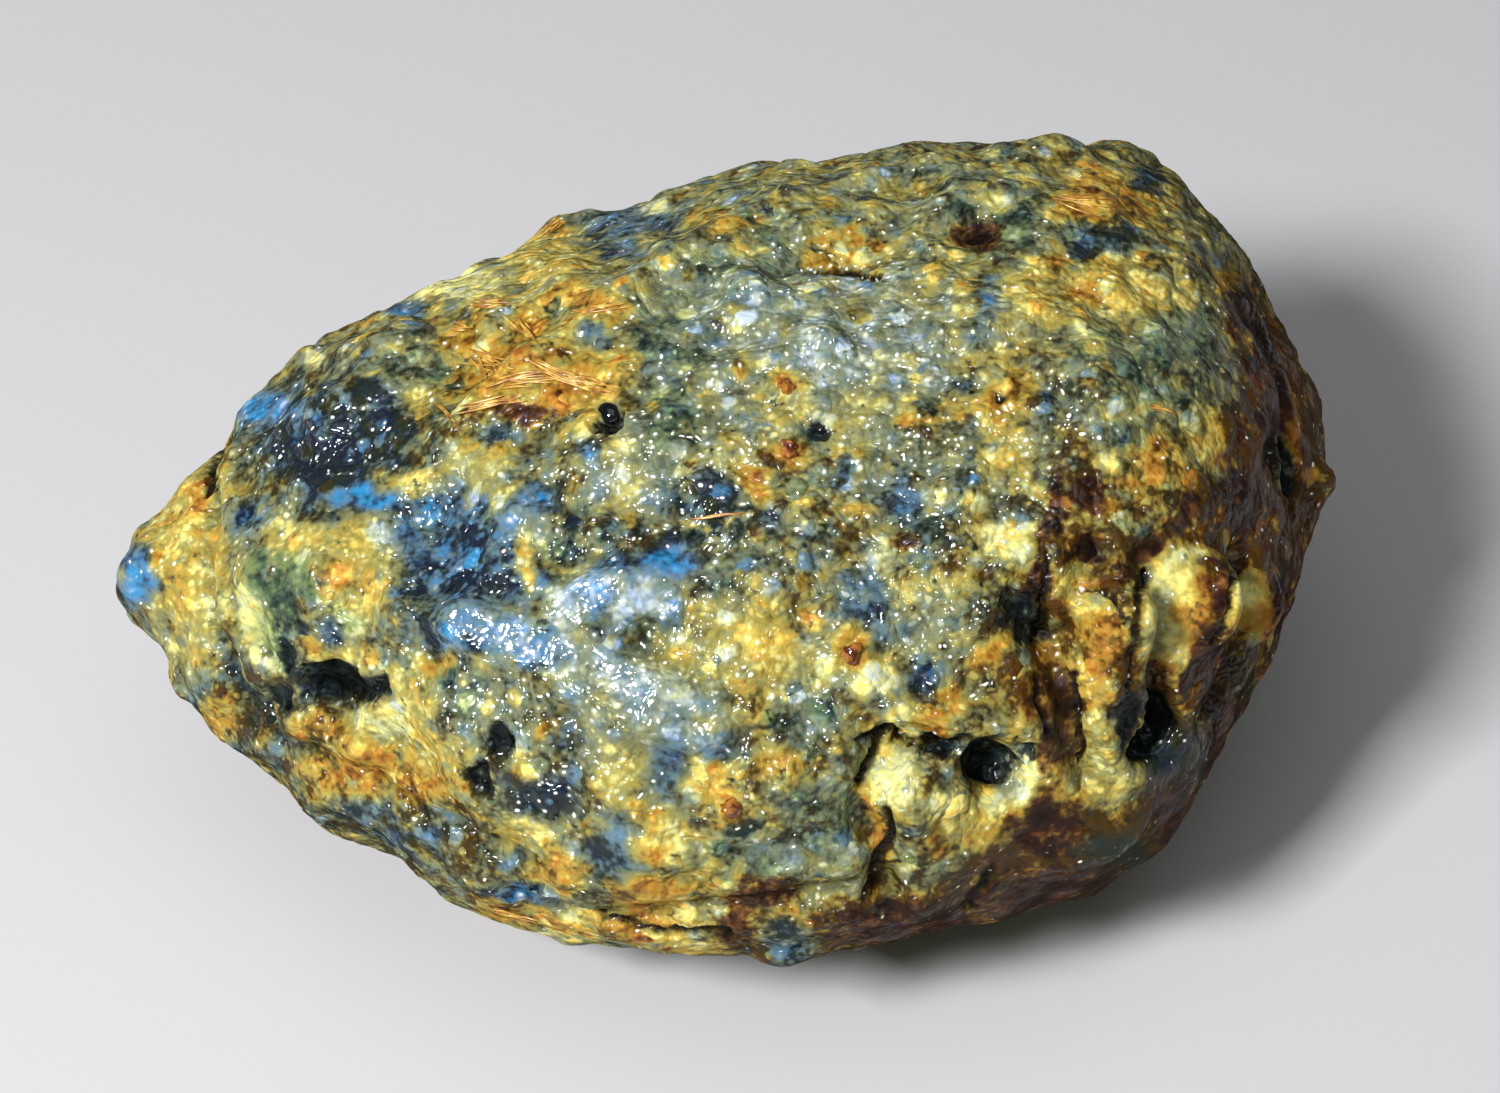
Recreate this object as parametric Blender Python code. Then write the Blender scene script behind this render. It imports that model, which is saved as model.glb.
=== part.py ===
# Rough blue amber: one egg-shaped nugget that lies on its side on a small worn flat.
# +X runs from the narrow nose to the blunt end, +Y away from the front, +Z up.
# The origin is on the worn flat, so the nugget rests on z = 0.
import math

import bmesh
import bpy
import numpy as np
from mathutils import Vector, noise
from mathutils.bvhtree import BVHTree

MM = 0.001

# Driving dimensions, in millimetres.
LENGTH = 42.0
FACE_LEAN = math.radians(45)
FACE_MIDDLE = Vector((0.0, 0.0, 11.4))
RAY_START = 60.0
BALL_SUBDIVISIONS = 7
TRIANGLES = 8600

# Cross-sections along the length, each an ellipse that stands across X:
# place along X, half depth, half height, middle in Y, underside above the rest.
SECTIONS = [
    (-19.8, 2.2, 1.9, -0.6, 9.0),
    (-18.3, 4.4, 3.8, -0.4, 6.6),
    (-14.8, 8.6, 6.9, 0.0, 3.5),
    (-11.3, 11.2, 8.7, 0.0, 1.8),
    (-7.9, 13.2, 10.0, 0.0, 0.6),
    (-4.4, 14.6, 10.9, 0.0, -0.1),
    (-0.9, 15.4, 11.3, 0.2, -0.35),
    (2.5, 15.8, 11.6, 0.5, -0.4),
    (6.0, 15.7, 11.6, 0.9, -0.3),
    (9.5, 15.3, 11.6, 1.3, 0.0),
    (12.9, 14.4, 11.1, 1.8, 0.8),
    (16.4, 11.8, 8.9, 2.6, 3.0),
    (18.5, 8.2, 5.8, 3.3, 6.6),
    (19.9, 4.6, 3.0, 4.0, 9.8),
]

# The weathered skin: how far each layer of it stands out, and its spacing.
SWELL_HEIGHT, SWELL_SPACING = 0.6, 8.0
KNOB_HEIGHT, KNOB_SPACING = 0.8, 3.4
KNOB_EVEN = 0.42
GRAIN_HEIGHT, GRAIN_SPACING = 0.3, 1.5
PATCH_SPACING = 7.0
SKIN_OFFSET = Vector((3.1, 7.7, 1.3))
PATCH_OFFSET = Vector((9.4, 2.2, 5.8))
WANDER, WANDER_SPACING = 0.5, 2.2
FADE_ABOVE_REST = 1.6

# What stands out of the front face or lies in it. A place is (across, up) in the leaning
# plane that faces the viewer. Each knob or hollow: place, radius, height.
FRONT_KNOBS = {
    "glassy nose tip": ((-20.4, -0.5), 1.5, 0.5),
    "nose crown": ((-18.6, 2.2), 1.4, 0.2),
    "nose foot": ((-17.8, -4.2), 1.8, 0.4),
    "left plateau": ((-14.8, -0.9), 3.9, 0.75),
    "blue shoulder": ((-16.2, 5.2), 1.5, 0.7),
    "white shoulder": ((-14.6, 6.8), 1.3, 0.4),
    "dark brow": ((-13.6, 4.4), 2.6, 0.55),
    "gold patch": ((-12.9, -0.9), 1.9, 0.4),
    "dark hollow": ((-13.2, -4.7), 1.6, -1.1),
    "green hollow": ((-15.4, -2.4), 1.5, -0.5),
    "blue basin": ((-9.4, 0.6), 3.0, -0.6),
    "brow spark": ((-6.8, 1.3), 1.2, 0.4),
    "middle spark": ((-4.4, 2.6), 1.3, 0.4),
    "upper spark": ((0.6, 9.2), 1.4, 0.5),
    "crown spark": ((3.1, 6.9), 1.4, 0.5),
    "teal basin": ((-2.2, -3.0), 1.4, -0.6),
    "resin run left": ((12.8, -2.0), 2.0, 1.0),
    "resin run foot": ((12.9, -4.9), 1.7, 0.6),
    "resin run right": ((15.8, -1.7), 2.2, 1.3),
    "resin run edge": ((18.1, -1.5), 1.4, 0.8),
    "shadow pocket": ((10.4, -2.4), 1.3, -0.9),
    "black pit": ((9.0, -7.2), 1.5, -1.6),
    "black pit right": ((14.3, -6.2), 1.5, -1.6),
    "yellow block": ((5.9, -7.8), 1.4, 0.7),
    "clear cheek": ((12.4, -9.8), 2.8, 0.5),
    "foot knob": ((2.3, -13.2), 1.6, 0.7),
    "foot dip": ((5.4, -13.2), 1.9, -0.6),
    "foot knob left": ((-5.4, -13.2), 1.6, 0.5),
    "foot notch": ((-1.6, -13.6), 1.6, -0.5),
    "lower boss": ((-8.6, -6.4), 2.6, 0.5),
    "lower hollow": ((-10.8, -6.9), 1.8, -0.5),
    "low flank": ((-11.6, -10.2), 2.8, -0.7),
    "heart boss": ((0.6, -8.2), 2.4, 0.5),
    "crown dimple": ((8.1, 10.8), 1.4, -0.6),
    "right brow": ((12.2, 6.0), 2.8, 0.5),
    "olive field": ((7.6, 0.4), 3.4, 0.4),
    "right edge bead": ((20.3, 2.7), 1.2, 0.7),
}

# Each ridge or crack: half width, height, places along it.
FRONT_RIDGES = {
    "nose collar groove": (
        1.2,
        -1.0,
        [(-17.2, 3.7), (-17.8, 1.5), (-17.8, -0.6), (-17.3, -2.7), (-16.6, -4.8), (-15.4, -6.5)],
    ),
    "nose collar lip": (1.0, 0.5, [(-16.5, 3.7), (-16.8, 0.6), (-16.5, -1.9), (-15.8, -4.2)]),
    "bright ridge": (
        1.4,
        0.9,
        [(-10.4, -2.1), (-7.2, -2.6), (-5.3, -3.5), (-3.4, -4.7), (-1.2, -5.6)],
    ),
    "bright ridge above": (1.2, 0.7, [(-5.0, -1.7), (-2.4, -0.8)]),
    "crack between runs": (0.9, -1.3, [(13.4, 0.0), (14.2, -1.9), (14.3, -3.7), (14.3, -5.4)]),
    "crack right of runs": (0.9, -1.3, [(16.9, 0.0), (17.5, -1.9), (17.0, -3.7), (16.5, -5.4)]),
    "crack left of runs": (0.9, -1.0, [(11.6, 0.2), (10.9, -1.7), (10.9, -3.2)]),
    "striped groove": (1.2, -1.1, [(11.0, -3.9), (11.6, -5.7), (12.0, -7.6)]),
    "block crack": (0.9, -1.3, [(6.2, -6.2), (4.8, -6.6), (4.5, -8.2), (4.9, -9.9), (5.4, -11.5)]),
    "ledge over pits": (0.9, 0.6, [(5.9, -5.4), (7.8, -5.7), (9.8, -5.6)]),
    "right edge groove": (1.1, -0.9, [(18.3, 7.8), (18.9, 5.4), (19.1, 3.3), (18.8, 1.0)]),
    "lip over foot": (0.9, -0.8, [(-6.4, -11.6), (-3.0, -12.0), (1.0, -11.2), (3.8, -11.0)]),
    "layer step": (0.9, -0.6, [(-14.2, -6.6), (-10.7, -8.3), (-6.2, -10.2)]),
    "crown crease": (0.9, -0.6, [(2.0, 9.7), (5.4, 10.4), (7.8, 9.6)]),
    "crown step": (1.2, 0.4, [(2.2, 11.0), (5.4, 11.7), (9.0, 11.9)]),
}

# The back face is placed the same way, seen from behind with across still along +X.
BACK_KNOBS = {
    "back saddle": ((-3.0, 1.5), 4.2, -0.9),
    "back shoulder": ((9.5, 3.0), 4.4, 0.8),
    "back heel": ((14.5, -4.5), 2.8, 0.9),
    "back pit": ((3.6, -3.2), 2.4, -1.0),
    "back pit low": ((6.2, -6.8), 1.8, -0.7),
    "back brow": ((-11.5, 4.0), 2.8, 0.7),
    "back nose knob": ((-17.0, 1.0), 1.9, 0.5),
    "back hollow": ((-12.5, -3.5), 2.1, -0.8),
    "back boss": ((-6.5, -5.5), 2.6, 0.7),
    "back pebble": ((0.5, 7.5), 1.7, 0.6),
    "back dimple": ((12.8, 8.6), 1.6, -0.7),
    "back chip": ((17.2, 1.6), 1.9, -0.7),
}
BACK_RIDGES = {
    "back resin run": (1.7, 0.8, [(-9.0, 8.2), (-4.6, 6.6), (0.6, 3.6), (6.4, 1.4), (11.8, 0.6)]),
    "back crack": (
        1.2,
        -0.8,
        [(-14.2, -0.4), (-11.6, -1.5), (-8.8, -0.9), (-6.8, -2.6), (-4.2, -2.1)],
    ),
    "back crack right": (1.2, -0.8, [(8.0, -1.6), (9.4, -3.2), (11.2, -3.7), (11.6, -6.0)]),
    "back ledge": (1.2, 0.6, [(-4.0, -9.6), (1.6, -10.6), (8.0, -9.4)]),
}

AMBER_COLOUR = (0.30, 0.27, 0.08, 1.0)
AMBER_ROUGHNESS = 0.3
AMBER_IOR = 1.54


def clear_scene():
    for old in list(bpy.data.objects):
        bpy.data.objects.remove(old)


def hermite(a, b, slope_a, slope_b, t):
    """The cubic from a to b with these slopes, at t from 0 to 1."""
    return (
        (2 * t**3 - 3 * t**2 + 1) * a
        + (t**3 - 2 * t**2 + t) * slope_a
        + (3 * t**2 - 2 * t**3) * b
        + (t**3 - t**2) * slope_b
    )


def ends_share(x):
    """How wide an ellipsoid of the nugget's length is at x, as a share of its middle."""
    along = 2.0 * x / LENGTH
    return math.sqrt(max(1.0 - along * along, 0.0))


def full_sections():
    """The cross-sections, each grown to what it would be without the rounding of the ends."""
    return [
        (at, depth / ends_share(at), height / ends_share(at), middle, under + height)
        for at, depth, height, middle, under in SECTIONS
    ]


def section_at(x, rows):
    """Half depth, half height, middle in Y and in Z at x, smooth from section to section."""
    if x <= rows[0][0]:
        values = rows[0][1:]
    elif x >= rows[-1][0]:
        values = rows[-1][1:]
    else:
        after = next(i for i, row in enumerate(rows) if row[0] > x)
        before = after - 1
        first = rows[max(before - 1, 0)]
        last = rows[min(after + 1, len(rows) - 1)]
        a = rows[before]
        b = rows[after]
        span = b[0] - a[0]
        share = (x - a[0]) / span
        values = [
            hermite(
                a[k],
                b[k],
                (b[k] - first[k]) / (b[0] - first[0]) * span,
                (last[k] - a[k]) / (last[0] - a[0]) * span,
                share,
            )
            for k in range(1, 5)
        ]
    depth, height, middle_y, middle_z = values
    return depth * ends_share(x), height * ends_share(x), middle_y, middle_z


def egg():
    """A fine ball laid onto the cross-sections."""
    bm = bmesh.new()
    bmesh.ops.create_icosphere(bm, subdivisions=BALL_SUBDIVISIONS, radius=1.0)
    rows = full_sections()
    for v in bm.verts:
        n = v.co.normalized()
        x = n.x * LENGTH / 2.0
        depth, height, middle_y, middle_z = section_at(x, rows)
        around = max(math.hypot(n.y, n.z), 1e-9)
        v.co = (x, middle_y + depth * n.y / around, middle_z + height * n.z / around)
    bm.normal_update()
    return bm


def face_point(tree, across, up, side):
    """Where (across, up) of the leaning face meets the egg. side is -1 in front, 1 behind."""
    outward = Vector((0.0, side * math.cos(FACE_LEAN), math.sin(FACE_LEAN)))
    upward = Vector((0.0, -side * math.sin(FACE_LEAN), math.cos(FACE_LEAN)))
    start = FACE_MIDDLE + Vector((across, 0.0, 0.0)) + upward * up + outward * RAY_START
    hit = tree.ray_cast(start, -outward)[0]
    return hit or tree.find_nearest(start - outward * RAY_START)[0]


def distances(points, line):
    """From each point to a line of places, or to the one place that it holds."""
    places = [np.array(place) for place in line]
    if len(places) == 1:
        return np.linalg.norm(points - places[0], axis=1)
    nearest = np.full(len(points), np.inf)
    for a, b in zip(places, places[1:]):
        run = b - a
        share = np.clip((points - a) @ run / (run @ run), 0.0, 1.0)
        to_run = np.linalg.norm(points - a - share[:, None] * run, axis=1)
        nearest = np.minimum(nearest, to_run)
    return nearest


def mark_heights(points, tree):
    """How far the knobs, hollows, ridges and cracks move each point."""
    heights = np.zeros(len(points))
    for side, knobs, ridges in (
        (-1.0, FRONT_KNOBS, FRONT_RIDGES),
        (1.0, BACK_KNOBS, BACK_RIDGES),
    ):
        for place, radius, rise in knobs.values():
            line = [face_point(tree, *place, side)]
            share = np.clip(distances(points, line) / radius, 0.0, 1.0)
            heights += rise * (1.0 - share**2) ** 2
        for half_width, rise, places in ridges.values():
            line = [face_point(tree, *place, side) for place in places]
            share = np.clip(distances(points, line) / half_width, 0.0, 1.0)
            heights += rise * (1.0 - share) ** 1.5
    return heights


def skin_height(point):
    """How far the weathered skin stands out: swells, pebble-like knobs and coarse grain."""
    swell = noise.noise((point + SKIN_OFFSET) / SWELL_SPACING) * SWELL_HEIGHT
    rough = 0.55 + 0.9 * noise.noise((point + PATCH_OFFSET) / PATCH_SPACING)
    knob = (KNOB_EVEN - noise.voronoi(point / KNOB_SPACING)[0][0]) * KNOB_HEIGHT * max(rough, 0.0)
    grain = noise.noise(point / GRAIN_SPACING) * GRAIN_HEIGHT
    return swell + knob + grain


def wandering(point):
    """A place near the point, so that what is drawn round a place has an uneven edge."""
    return point + noise.noise_vector(point / WANDER_SPACING) * WANDER


def weather(bm):
    """Moves the egg's points along its normals, less and less towards the rest."""
    points = np.array([wandering(v.co)[:] for v in bm.verts])
    heights = mark_heights(points, BVHTree.FromBMesh(bm))
    normals = [v.normal.copy() for v in bm.verts]
    for v, normal, height in zip(bm.verts, normals, heights):
        settled = min(max(v.co.z / FADE_ABOVE_REST, 0.0), 1.0)
        v.co += normal * (float(height) + skin_height(v.co)) * settled
    bm.normal_update()


def amber_material():
    material = bpy.data.materials.new("rough amber")
    material.use_nodes = True
    shader = material.node_tree.nodes["Principled BSDF"]
    shader.inputs["Base Color"].default_value = AMBER_COLOUR
    shader.inputs["Roughness"].default_value = AMBER_ROUGHNESS
    shader.inputs["Metallic"].default_value = 0.0
    shader.inputs["IOR"].default_value = AMBER_IOR
    return material


def placed_object(bm, name):
    """The mesh in metres as an object of the scene."""
    for v in bm.verts:
        v.co *= MM
    mesh = bpy.data.meshes.new(name)
    bm.to_mesh(mesh)
    bm.free()
    placed = bpy.data.objects.new(name, mesh)
    bpy.context.scene.collection.objects.link(placed)
    return placed


def thin_out(piece):
    """Keeps the triangles where the surface bends and merges them where it doesn't."""
    bpy.context.view_layer.objects.active = piece
    thinning = piece.modifiers.new("fewer triangles", "DECIMATE")
    thinning.ratio = TRIANGLES / len(piece.data.polygons)
    bpy.ops.object.modifier_apply(modifier=thinning.name)


def worn_flat(piece):
    """Cuts off what lies below z = 0 and closes the cut with one flat face."""
    bm = bmesh.new()
    bm.from_mesh(piece.data)
    geometry = bm.verts[:] + bm.edges[:] + bm.faces[:]
    cut = bmesh.ops.bisect_plane(
        bm, geom=geometry, plane_co=(0.0, 0.0, 0.0), plane_no=(0.0, 0.0, -1.0), clear_outer=True
    )
    rim = [e for e in cut["geom_cut"] if isinstance(e, bmesh.types.BMEdge)]
    bmesh.ops.contextual_create(bm, geom=rim)
    bmesh.ops.recalc_face_normals(bm, faces=bm.faces[:])
    bm.to_mesh(piece.data)
    bm.free()


def amber_nugget():
    """The whole nugget: one solid of resin with its weathered skin."""
    bm = egg()
    weather(bm)
    nugget = placed_object(bm, "amber_nugget")
    thin_out(nugget)
    worn_flat(nugget)
    nugget.data.materials.append(amber_material())


clear_scene()
amber_nugget()
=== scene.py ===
# %% [markdown]
# # A raw blue amber nugget
# Blue amber is fossil tree resin. The real piece is one lump: a glassy body, blue-green where
# the light bounces off it and red-brown where it shines through, under a weathered crust of
# yellow, orange and rust grains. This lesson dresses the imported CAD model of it. The model
# stays where it is, and everything here is worked out in the same place and size.

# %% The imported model
import math
import bpy
import numpy as np
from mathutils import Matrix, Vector, noise
from mathutils.bvhtree import BVHTree
from mathutils.kdtree import KDTree


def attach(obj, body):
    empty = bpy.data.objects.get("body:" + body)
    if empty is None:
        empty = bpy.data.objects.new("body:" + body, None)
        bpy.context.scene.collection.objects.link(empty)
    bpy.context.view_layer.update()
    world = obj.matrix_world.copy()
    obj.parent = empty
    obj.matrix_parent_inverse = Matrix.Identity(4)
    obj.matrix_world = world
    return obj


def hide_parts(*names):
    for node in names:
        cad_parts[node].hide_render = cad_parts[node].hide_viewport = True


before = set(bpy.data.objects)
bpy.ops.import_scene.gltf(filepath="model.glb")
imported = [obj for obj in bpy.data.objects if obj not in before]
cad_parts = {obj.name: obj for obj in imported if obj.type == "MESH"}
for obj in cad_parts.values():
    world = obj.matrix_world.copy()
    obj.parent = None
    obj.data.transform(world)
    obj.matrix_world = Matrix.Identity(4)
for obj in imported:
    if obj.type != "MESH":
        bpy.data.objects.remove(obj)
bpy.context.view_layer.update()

MM = 0.001

# %% [markdown]
# ## The camera
# The photograph looks down at the nugget at 45 degrees through a long lens. The camera is
# placed so that the middle of the visible face falls on the same pixel as in the photograph.
# The same numbers then turn any point of the surface into photograph pixels, which is how
# the marks further down find their place.

# %% Camera at the photograph's angle
PHOTO_WIDTH, PHOTO_HEIGHT = 1500, 1093
LENS, SENSOR = 100.0, 36.0
CAMERA_TILT = math.radians(45)
FACE_MIDDLE = np.array((0.0, 0.0, 11.4))
CAMERA_DISTANCE = 144.6
CAMERA_RIGHT = np.array((1.0, 0.0, 0.0))
CAMERA_UP = np.array((0.0, math.sin(CAMERA_TILT), math.cos(CAMERA_TILT)))
CAMERA_BACK = np.array((0.0, -math.cos(CAMERA_TILT), math.sin(CAMERA_TILT)))
CAMERA_SHIFT = CAMERA_RIGHT * 0.80 + CAMERA_UP * 0.28
EYE = FACE_MIDDLE + CAMERA_BACK * CAMERA_DISTANCE + CAMERA_SHIFT
FOCAL_PIXELS = LENS / SENSOR * PHOTO_WIDTH

camera_data = bpy.data.cameras.new("photo_camera")
camera_data.lens = LENS
camera_data.sensor_width = SENSOR
camera_data.clip_start = 0.01
camera = bpy.data.objects.new("photo_camera", camera_data)
camera.location = Vector(EYE) * MM
camera.rotation_euler = (CAMERA_TILT, 0, 0)
bpy.context.collection.objects.link(camera)
bpy.context.scene.camera = camera


def photo_pixels(points):
    """Photograph pixels of points given in mm, one row each."""
    away = points - EYE
    depth = -(away @ CAMERA_BACK)
    across = PHOTO_WIDTH / 2 + FOCAL_PIXELS * (away @ CAMERA_RIGHT) / depth
    down = PHOTO_HEIGHT / 2 - FOCAL_PIXELS * (away @ CAMERA_UP) / depth
    return across, down


print("face middle falls on pixel", photo_pixels(FACE_MIDDLE[None, :]))

# %% [markdown]
# ## Two small helpers for materials
# Colours are written as sRGB hex values, as a paint chart gives them, and one function turns
# them to the linear numbers that Blender mixes with. One more function adds any node with its
# settings and links, and gives back what comes out of it, so that a material reads from top
# to bottom like a recipe.

# %% Colour and node helpers


def linear(hex_colour):
    """Linear RGBA of an sRGB hex colour such as #c9a23a."""
    parts = [int(hex_colour[i:i + 2], 16) / 255 for i in (1, 3, 5)]
    return [p / 12.92 if p <= 0.04045 else ((p + 0.055) / 1.055) ** 2.4 for p in parts] + [1.0]


def add_node(tree, kind, links=None, out=0, stops=(), **settings):
    """Adds a node and gives back one of its outputs, or all of them where out is None.

    links gives each input a value, or the output that feeds it; stops fills a colour ramp.
    """
    made = tree.nodes.new("ShaderNode" + kind)
    for name, value in settings.items():
        setattr(made, name, value)
    for socket, value in (links or {}).items():
        if isinstance(value, bpy.types.NodeSocket):
            tree.links.new(value, made.inputs[socket])
        else:
            made.inputs[socket].default_value = value
    for number, (place, shade) in enumerate(stops):
        marks = made.color_ramp.elements
        mark = marks[number] if number < 2 else marks.new(place)
        mark.position, mark.color = place, linear(shade)
    return made.outputs if out is None else made.outputs[out]


def new_material(name):
    """An empty node material, with its tree."""
    made = bpy.data.materials.new(name)
    made.use_nodes = True
    made.node_tree.nodes.clear()
    return made, made.node_tree


print("amber gold in linear numbers:", [round(part, 3) for part in linear("#c9a23a")[:3]])

# %% [markdown]
# ## The studio
# A pale matt floor, a small soft light from the front left that makes the wet-looking glints
# and the shadow to the right, and a large weak one that opens the shadows.

# %% Floor and lights
bpy.ops.object.select_all(action="DESELECT")
bpy.ops.mesh.primitive_plane_add(size=3.0, location=(0, 0, 0))
floor = bpy.context.object
floor.name = "studio_floor"
# Matt paper scatters the light evenly: it shows the nugget's shadow and no mirror image.
paper, tree = new_material("matt_studio_paper")
paper_shader = add_node(tree, "BsdfPrincipled", {
    "Base Color": linear("#bdbbb8"), "Roughness": 0.85, "Specular IOR Level": 0.2})
add_node(tree, "OutputMaterial", {"Surface": paper_shader}, out=None)
floor.data.materials.append(paper)


def toward(azimuth, elevation):
    """The direction from the nugget to a lamp; azimuth 0 is in front, 90 at the right."""
    a, e = math.radians(azimuth), math.radians(elevation)
    return np.array((math.sin(a) * math.cos(e), -math.cos(a) * math.cos(e), math.sin(e)))


def soft_light(name, azimuth, elevation, distance, size, power, colour):
    """A square light that looks at the nugget, its distance and size in mm."""
    data = bpy.data.lights.new(name, "AREA")
    data.size = size * MM
    data.energy = power
    data.color = linear(colour)[:3]
    lamp = bpy.data.objects.new(name, data)
    way = Vector(toward(azimuth, elevation))
    lamp.location = (Vector(FACE_MIDDLE) + way * distance) * MM
    lamp.rotation_euler = (-way).to_track_quat("-Z", "Y").to_euler()
    bpy.context.collection.objects.link(lamp)


KEY_AZIMUTH, KEY_ELEVATION = -38, 46
soft_light("key_light", azimuth=KEY_AZIMUTH, elevation=KEY_ELEVATION, distance=320, size=62,
           power=1.75, colour="#f6f8ff")
soft_light("fill_light", azimuth=0, elevation=80, distance=420, size=380,
           power=0.55, colour="#f4f7ff")
world = bpy.data.worlds.new("pale_studio")
world.use_nodes = True
world.node_tree.nodes["Background"].inputs["Color"].default_value = linear("#e4e8ee")
world.node_tree.nodes["Background"].inputs["Strength"].default_value = 0.12
bpy.context.scene.world = world
bpy.context.scene.view_settings.view_transform = "Standard"
print("lamps:", len(bpy.data.lights))

# %% [markdown]
# ## The nugget's skin
# The CAD solid has the lumps, ledges and pits, in faces about a millimetre wide. The real
# skin is finer: rounded grains of half a millimetre, packed together. It could be sculpted by
# hand, but thousands of grains are quicker to grow from rules. So the solid is copied, its
# loose triangles are merged, and it is rounded and remeshed to even small faces, which the
# later steps push in and out.

# %% Copy of the solid, rounded and remeshed
# In mm: the width of the skin's faces, and how close two points are to be one.
RESIN_FACE, MERGED = 0.224, 0.001
MESH_LIMIT = 200000


def use_modifier(piece, kind, **settings):
    """Adds a modifier with its settings and applies it."""
    bpy.context.view_layer.objects.active = piece
    made = piece.modifiers.new(kind.lower(), kind)
    for name, value in settings.items():
        setattr(made, name, value)
    bpy.ops.object.modifier_apply(modifier=made.name)


def places(piece):
    """The piece's vertices in mm."""
    flat = np.empty(len(piece.data.vertices) * 3)
    piece.data.vertices.foreach_get("co", flat)
    return flat.reshape(-1, 3) / MM


def normals(piece):
    """The piece's vertex normals."""
    flat = np.empty(len(piece.data.vertices) * 3, dtype=np.float32)
    piece.data.vertex_normals.foreach_get("vector", flat)
    return flat.reshape(-1, 3).astype(float)


def put_places(piece, points):
    """Moves the piece's vertices to points in mm."""
    piece.data.vertices.foreach_set("co", (points * MM).ravel())
    piece.data.update()


def turn_out(piece):
    """Selects one piece alone, merges its doubled points and turns its faces outwards."""
    bpy.ops.object.select_all(action="DESELECT")
    piece.select_set(True)
    bpy.context.view_layer.objects.active = piece
    bpy.ops.object.mode_set(mode="EDIT")
    bpy.ops.mesh.select_all(action="SELECT")
    bpy.ops.mesh.remove_doubles(threshold=MERGED * MM)
    bpy.ops.mesh.normals_make_consistent(inside=False)
    bpy.ops.object.mode_set(mode="OBJECT")


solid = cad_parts["amber_nugget"]
nugget = solid.copy()
nugget.data = solid.data.copy()
nugget.name = nugget.data.name = "raw_amber_nugget"
nugget.parent = None
bpy.context.collection.objects.link(nugget)
turn_out(nugget)
use_modifier(nugget, "SUBSURF", levels=1, render_levels=1)
use_modifier(nugget, "REMESH", mode="VOXEL", voxel_size=RESIN_FACE * MM)
use_modifier(nugget, "SMOOTH", factor=0.5, iterations=3)
bpy.ops.object.shade_smooth()
print("skin has", len(nugget.data.vertices), "points")

# %% [markdown]
# ## Where the marks lie
# Each mark on the real face is named here with the box of photograph pixels that it fills:
# left, top, right, bottom. A mark is drawn as an ellipse in its box, with an edge that noise
# bends, so nothing stays round. Marks of one look make a family, and each family has its own
# warmth and lightness further down.

# %% Dark and blue marks, and marks of painted sheen
NAVY = {
    "under_shoulder": (347, 375, 385, 399), "shoulder_grains": (272, 408, 362, 482),
    "shoulder_end": (358, 410, 412, 437), "plateau_teal": (390, 540, 519, 604),
    "ridge_root": (408, 613, 492, 652), "ridge_end": (528, 650, 572, 672),
    "centre_sparkle": (678, 470, 742, 522), "low_hollow": (474, 758, 492, 787),
    "low_glass": (515, 772, 569, 817), "under_rust": (724, 822, 759, 842),
    "top_right": (1065, 218, 1132, 252), "top_end": (1133, 168, 1162, 197),
    "right_band": (1133, 733, 1224, 787), "low_band": (1065, 835, 1152, 877),
    "right_purple": (1229, 663, 1259, 702), "low_grains": (803, 848, 844, 902),
}
SKY = {
    "nose_tip": (120, 546, 153, 609), "shoulder": (234, 389, 292, 425),
    "lens": (325, 485, 402, 508), "sky": (644, 545, 688, 574), "top_left": (394, 300, 422, 315),
    "low_lip": (496, 888, 538, 904),
}
BLUE = {
    "under_nose": (145, 616, 175, 655),
    "nose_low": (175, 676, 225, 713), "nose_side": (223, 500, 272, 542),
    "rib_side": (313, 615, 342, 647), "low_left": (325, 790, 387, 822),
    "low_left_2": (372, 827, 442, 846), "plateau": (378, 490, 514, 567),
    "plateau_2": (508, 488, 562, 517), "ridge": (453, 623, 532, 654),
    "sky": (633, 538, 694, 582), "sky_2": (585, 553, 632, 582),
    "top_left": (388, 295, 429, 322), "top_edge": (590, 188, 677, 254),
    "top_spot": (578, 321, 614, 347), "by_hole": (478, 420, 527, 442),
    "by_hole_2": (573, 430, 594, 454), "centre": (758, 510, 787, 532),
    "centre_2": (795, 548, 822, 572), "centre_3": (838, 573, 889, 627),
    "centre_4": (893, 488, 927, 527), "centre_5": (890, 623, 907, 642),
    "aqua": (910, 550, 929, 569), "right_teal": (908, 663, 944, 684),
    "low_facet": (648, 738, 692, 802), "low_spot": (693, 728, 739, 754),
    "low_glass": (585, 820, 642, 912), "low_lip": (483, 880, 559, 914),
    "low_lip_2": (493, 848, 524, 867), "low_knob": (763, 923, 822, 970),
    "top_right": (978, 278, 1019, 314), "upper_spot": (838, 453, 852, 489),
    "top_pale": (1070, 230, 1094, 249),
}
# Painted sheen: where the wet skin glints, these marks pull the colour paler and grey-blue.
PAINTED_SHEEN_MARKS = {
    "upper": (780, 285, 960, 400), "upper_right": (1148, 309, 1205, 362),
    "right": (890, 608, 982, 659), "upper_left": (650, 255, 800, 350),
    "upper_mid": (760, 330, 880, 400), "sparkle": (590, 430, 680, 500),
    "centre_top": (850, 440, 960, 520), "low": (740, 840, 850, 900),
    "ridge_side": (600, 640, 720, 720), "under_ridge": (440, 680, 560, 740),
    "blue_side": (440, 560, 560, 620), "low_grey": (560, 700, 680, 760),
}
print("dark and blue marks:", sum(map(len, (NAVY, SKY, BLUE, PAINTED_SHEEN_MARKS))))
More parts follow.
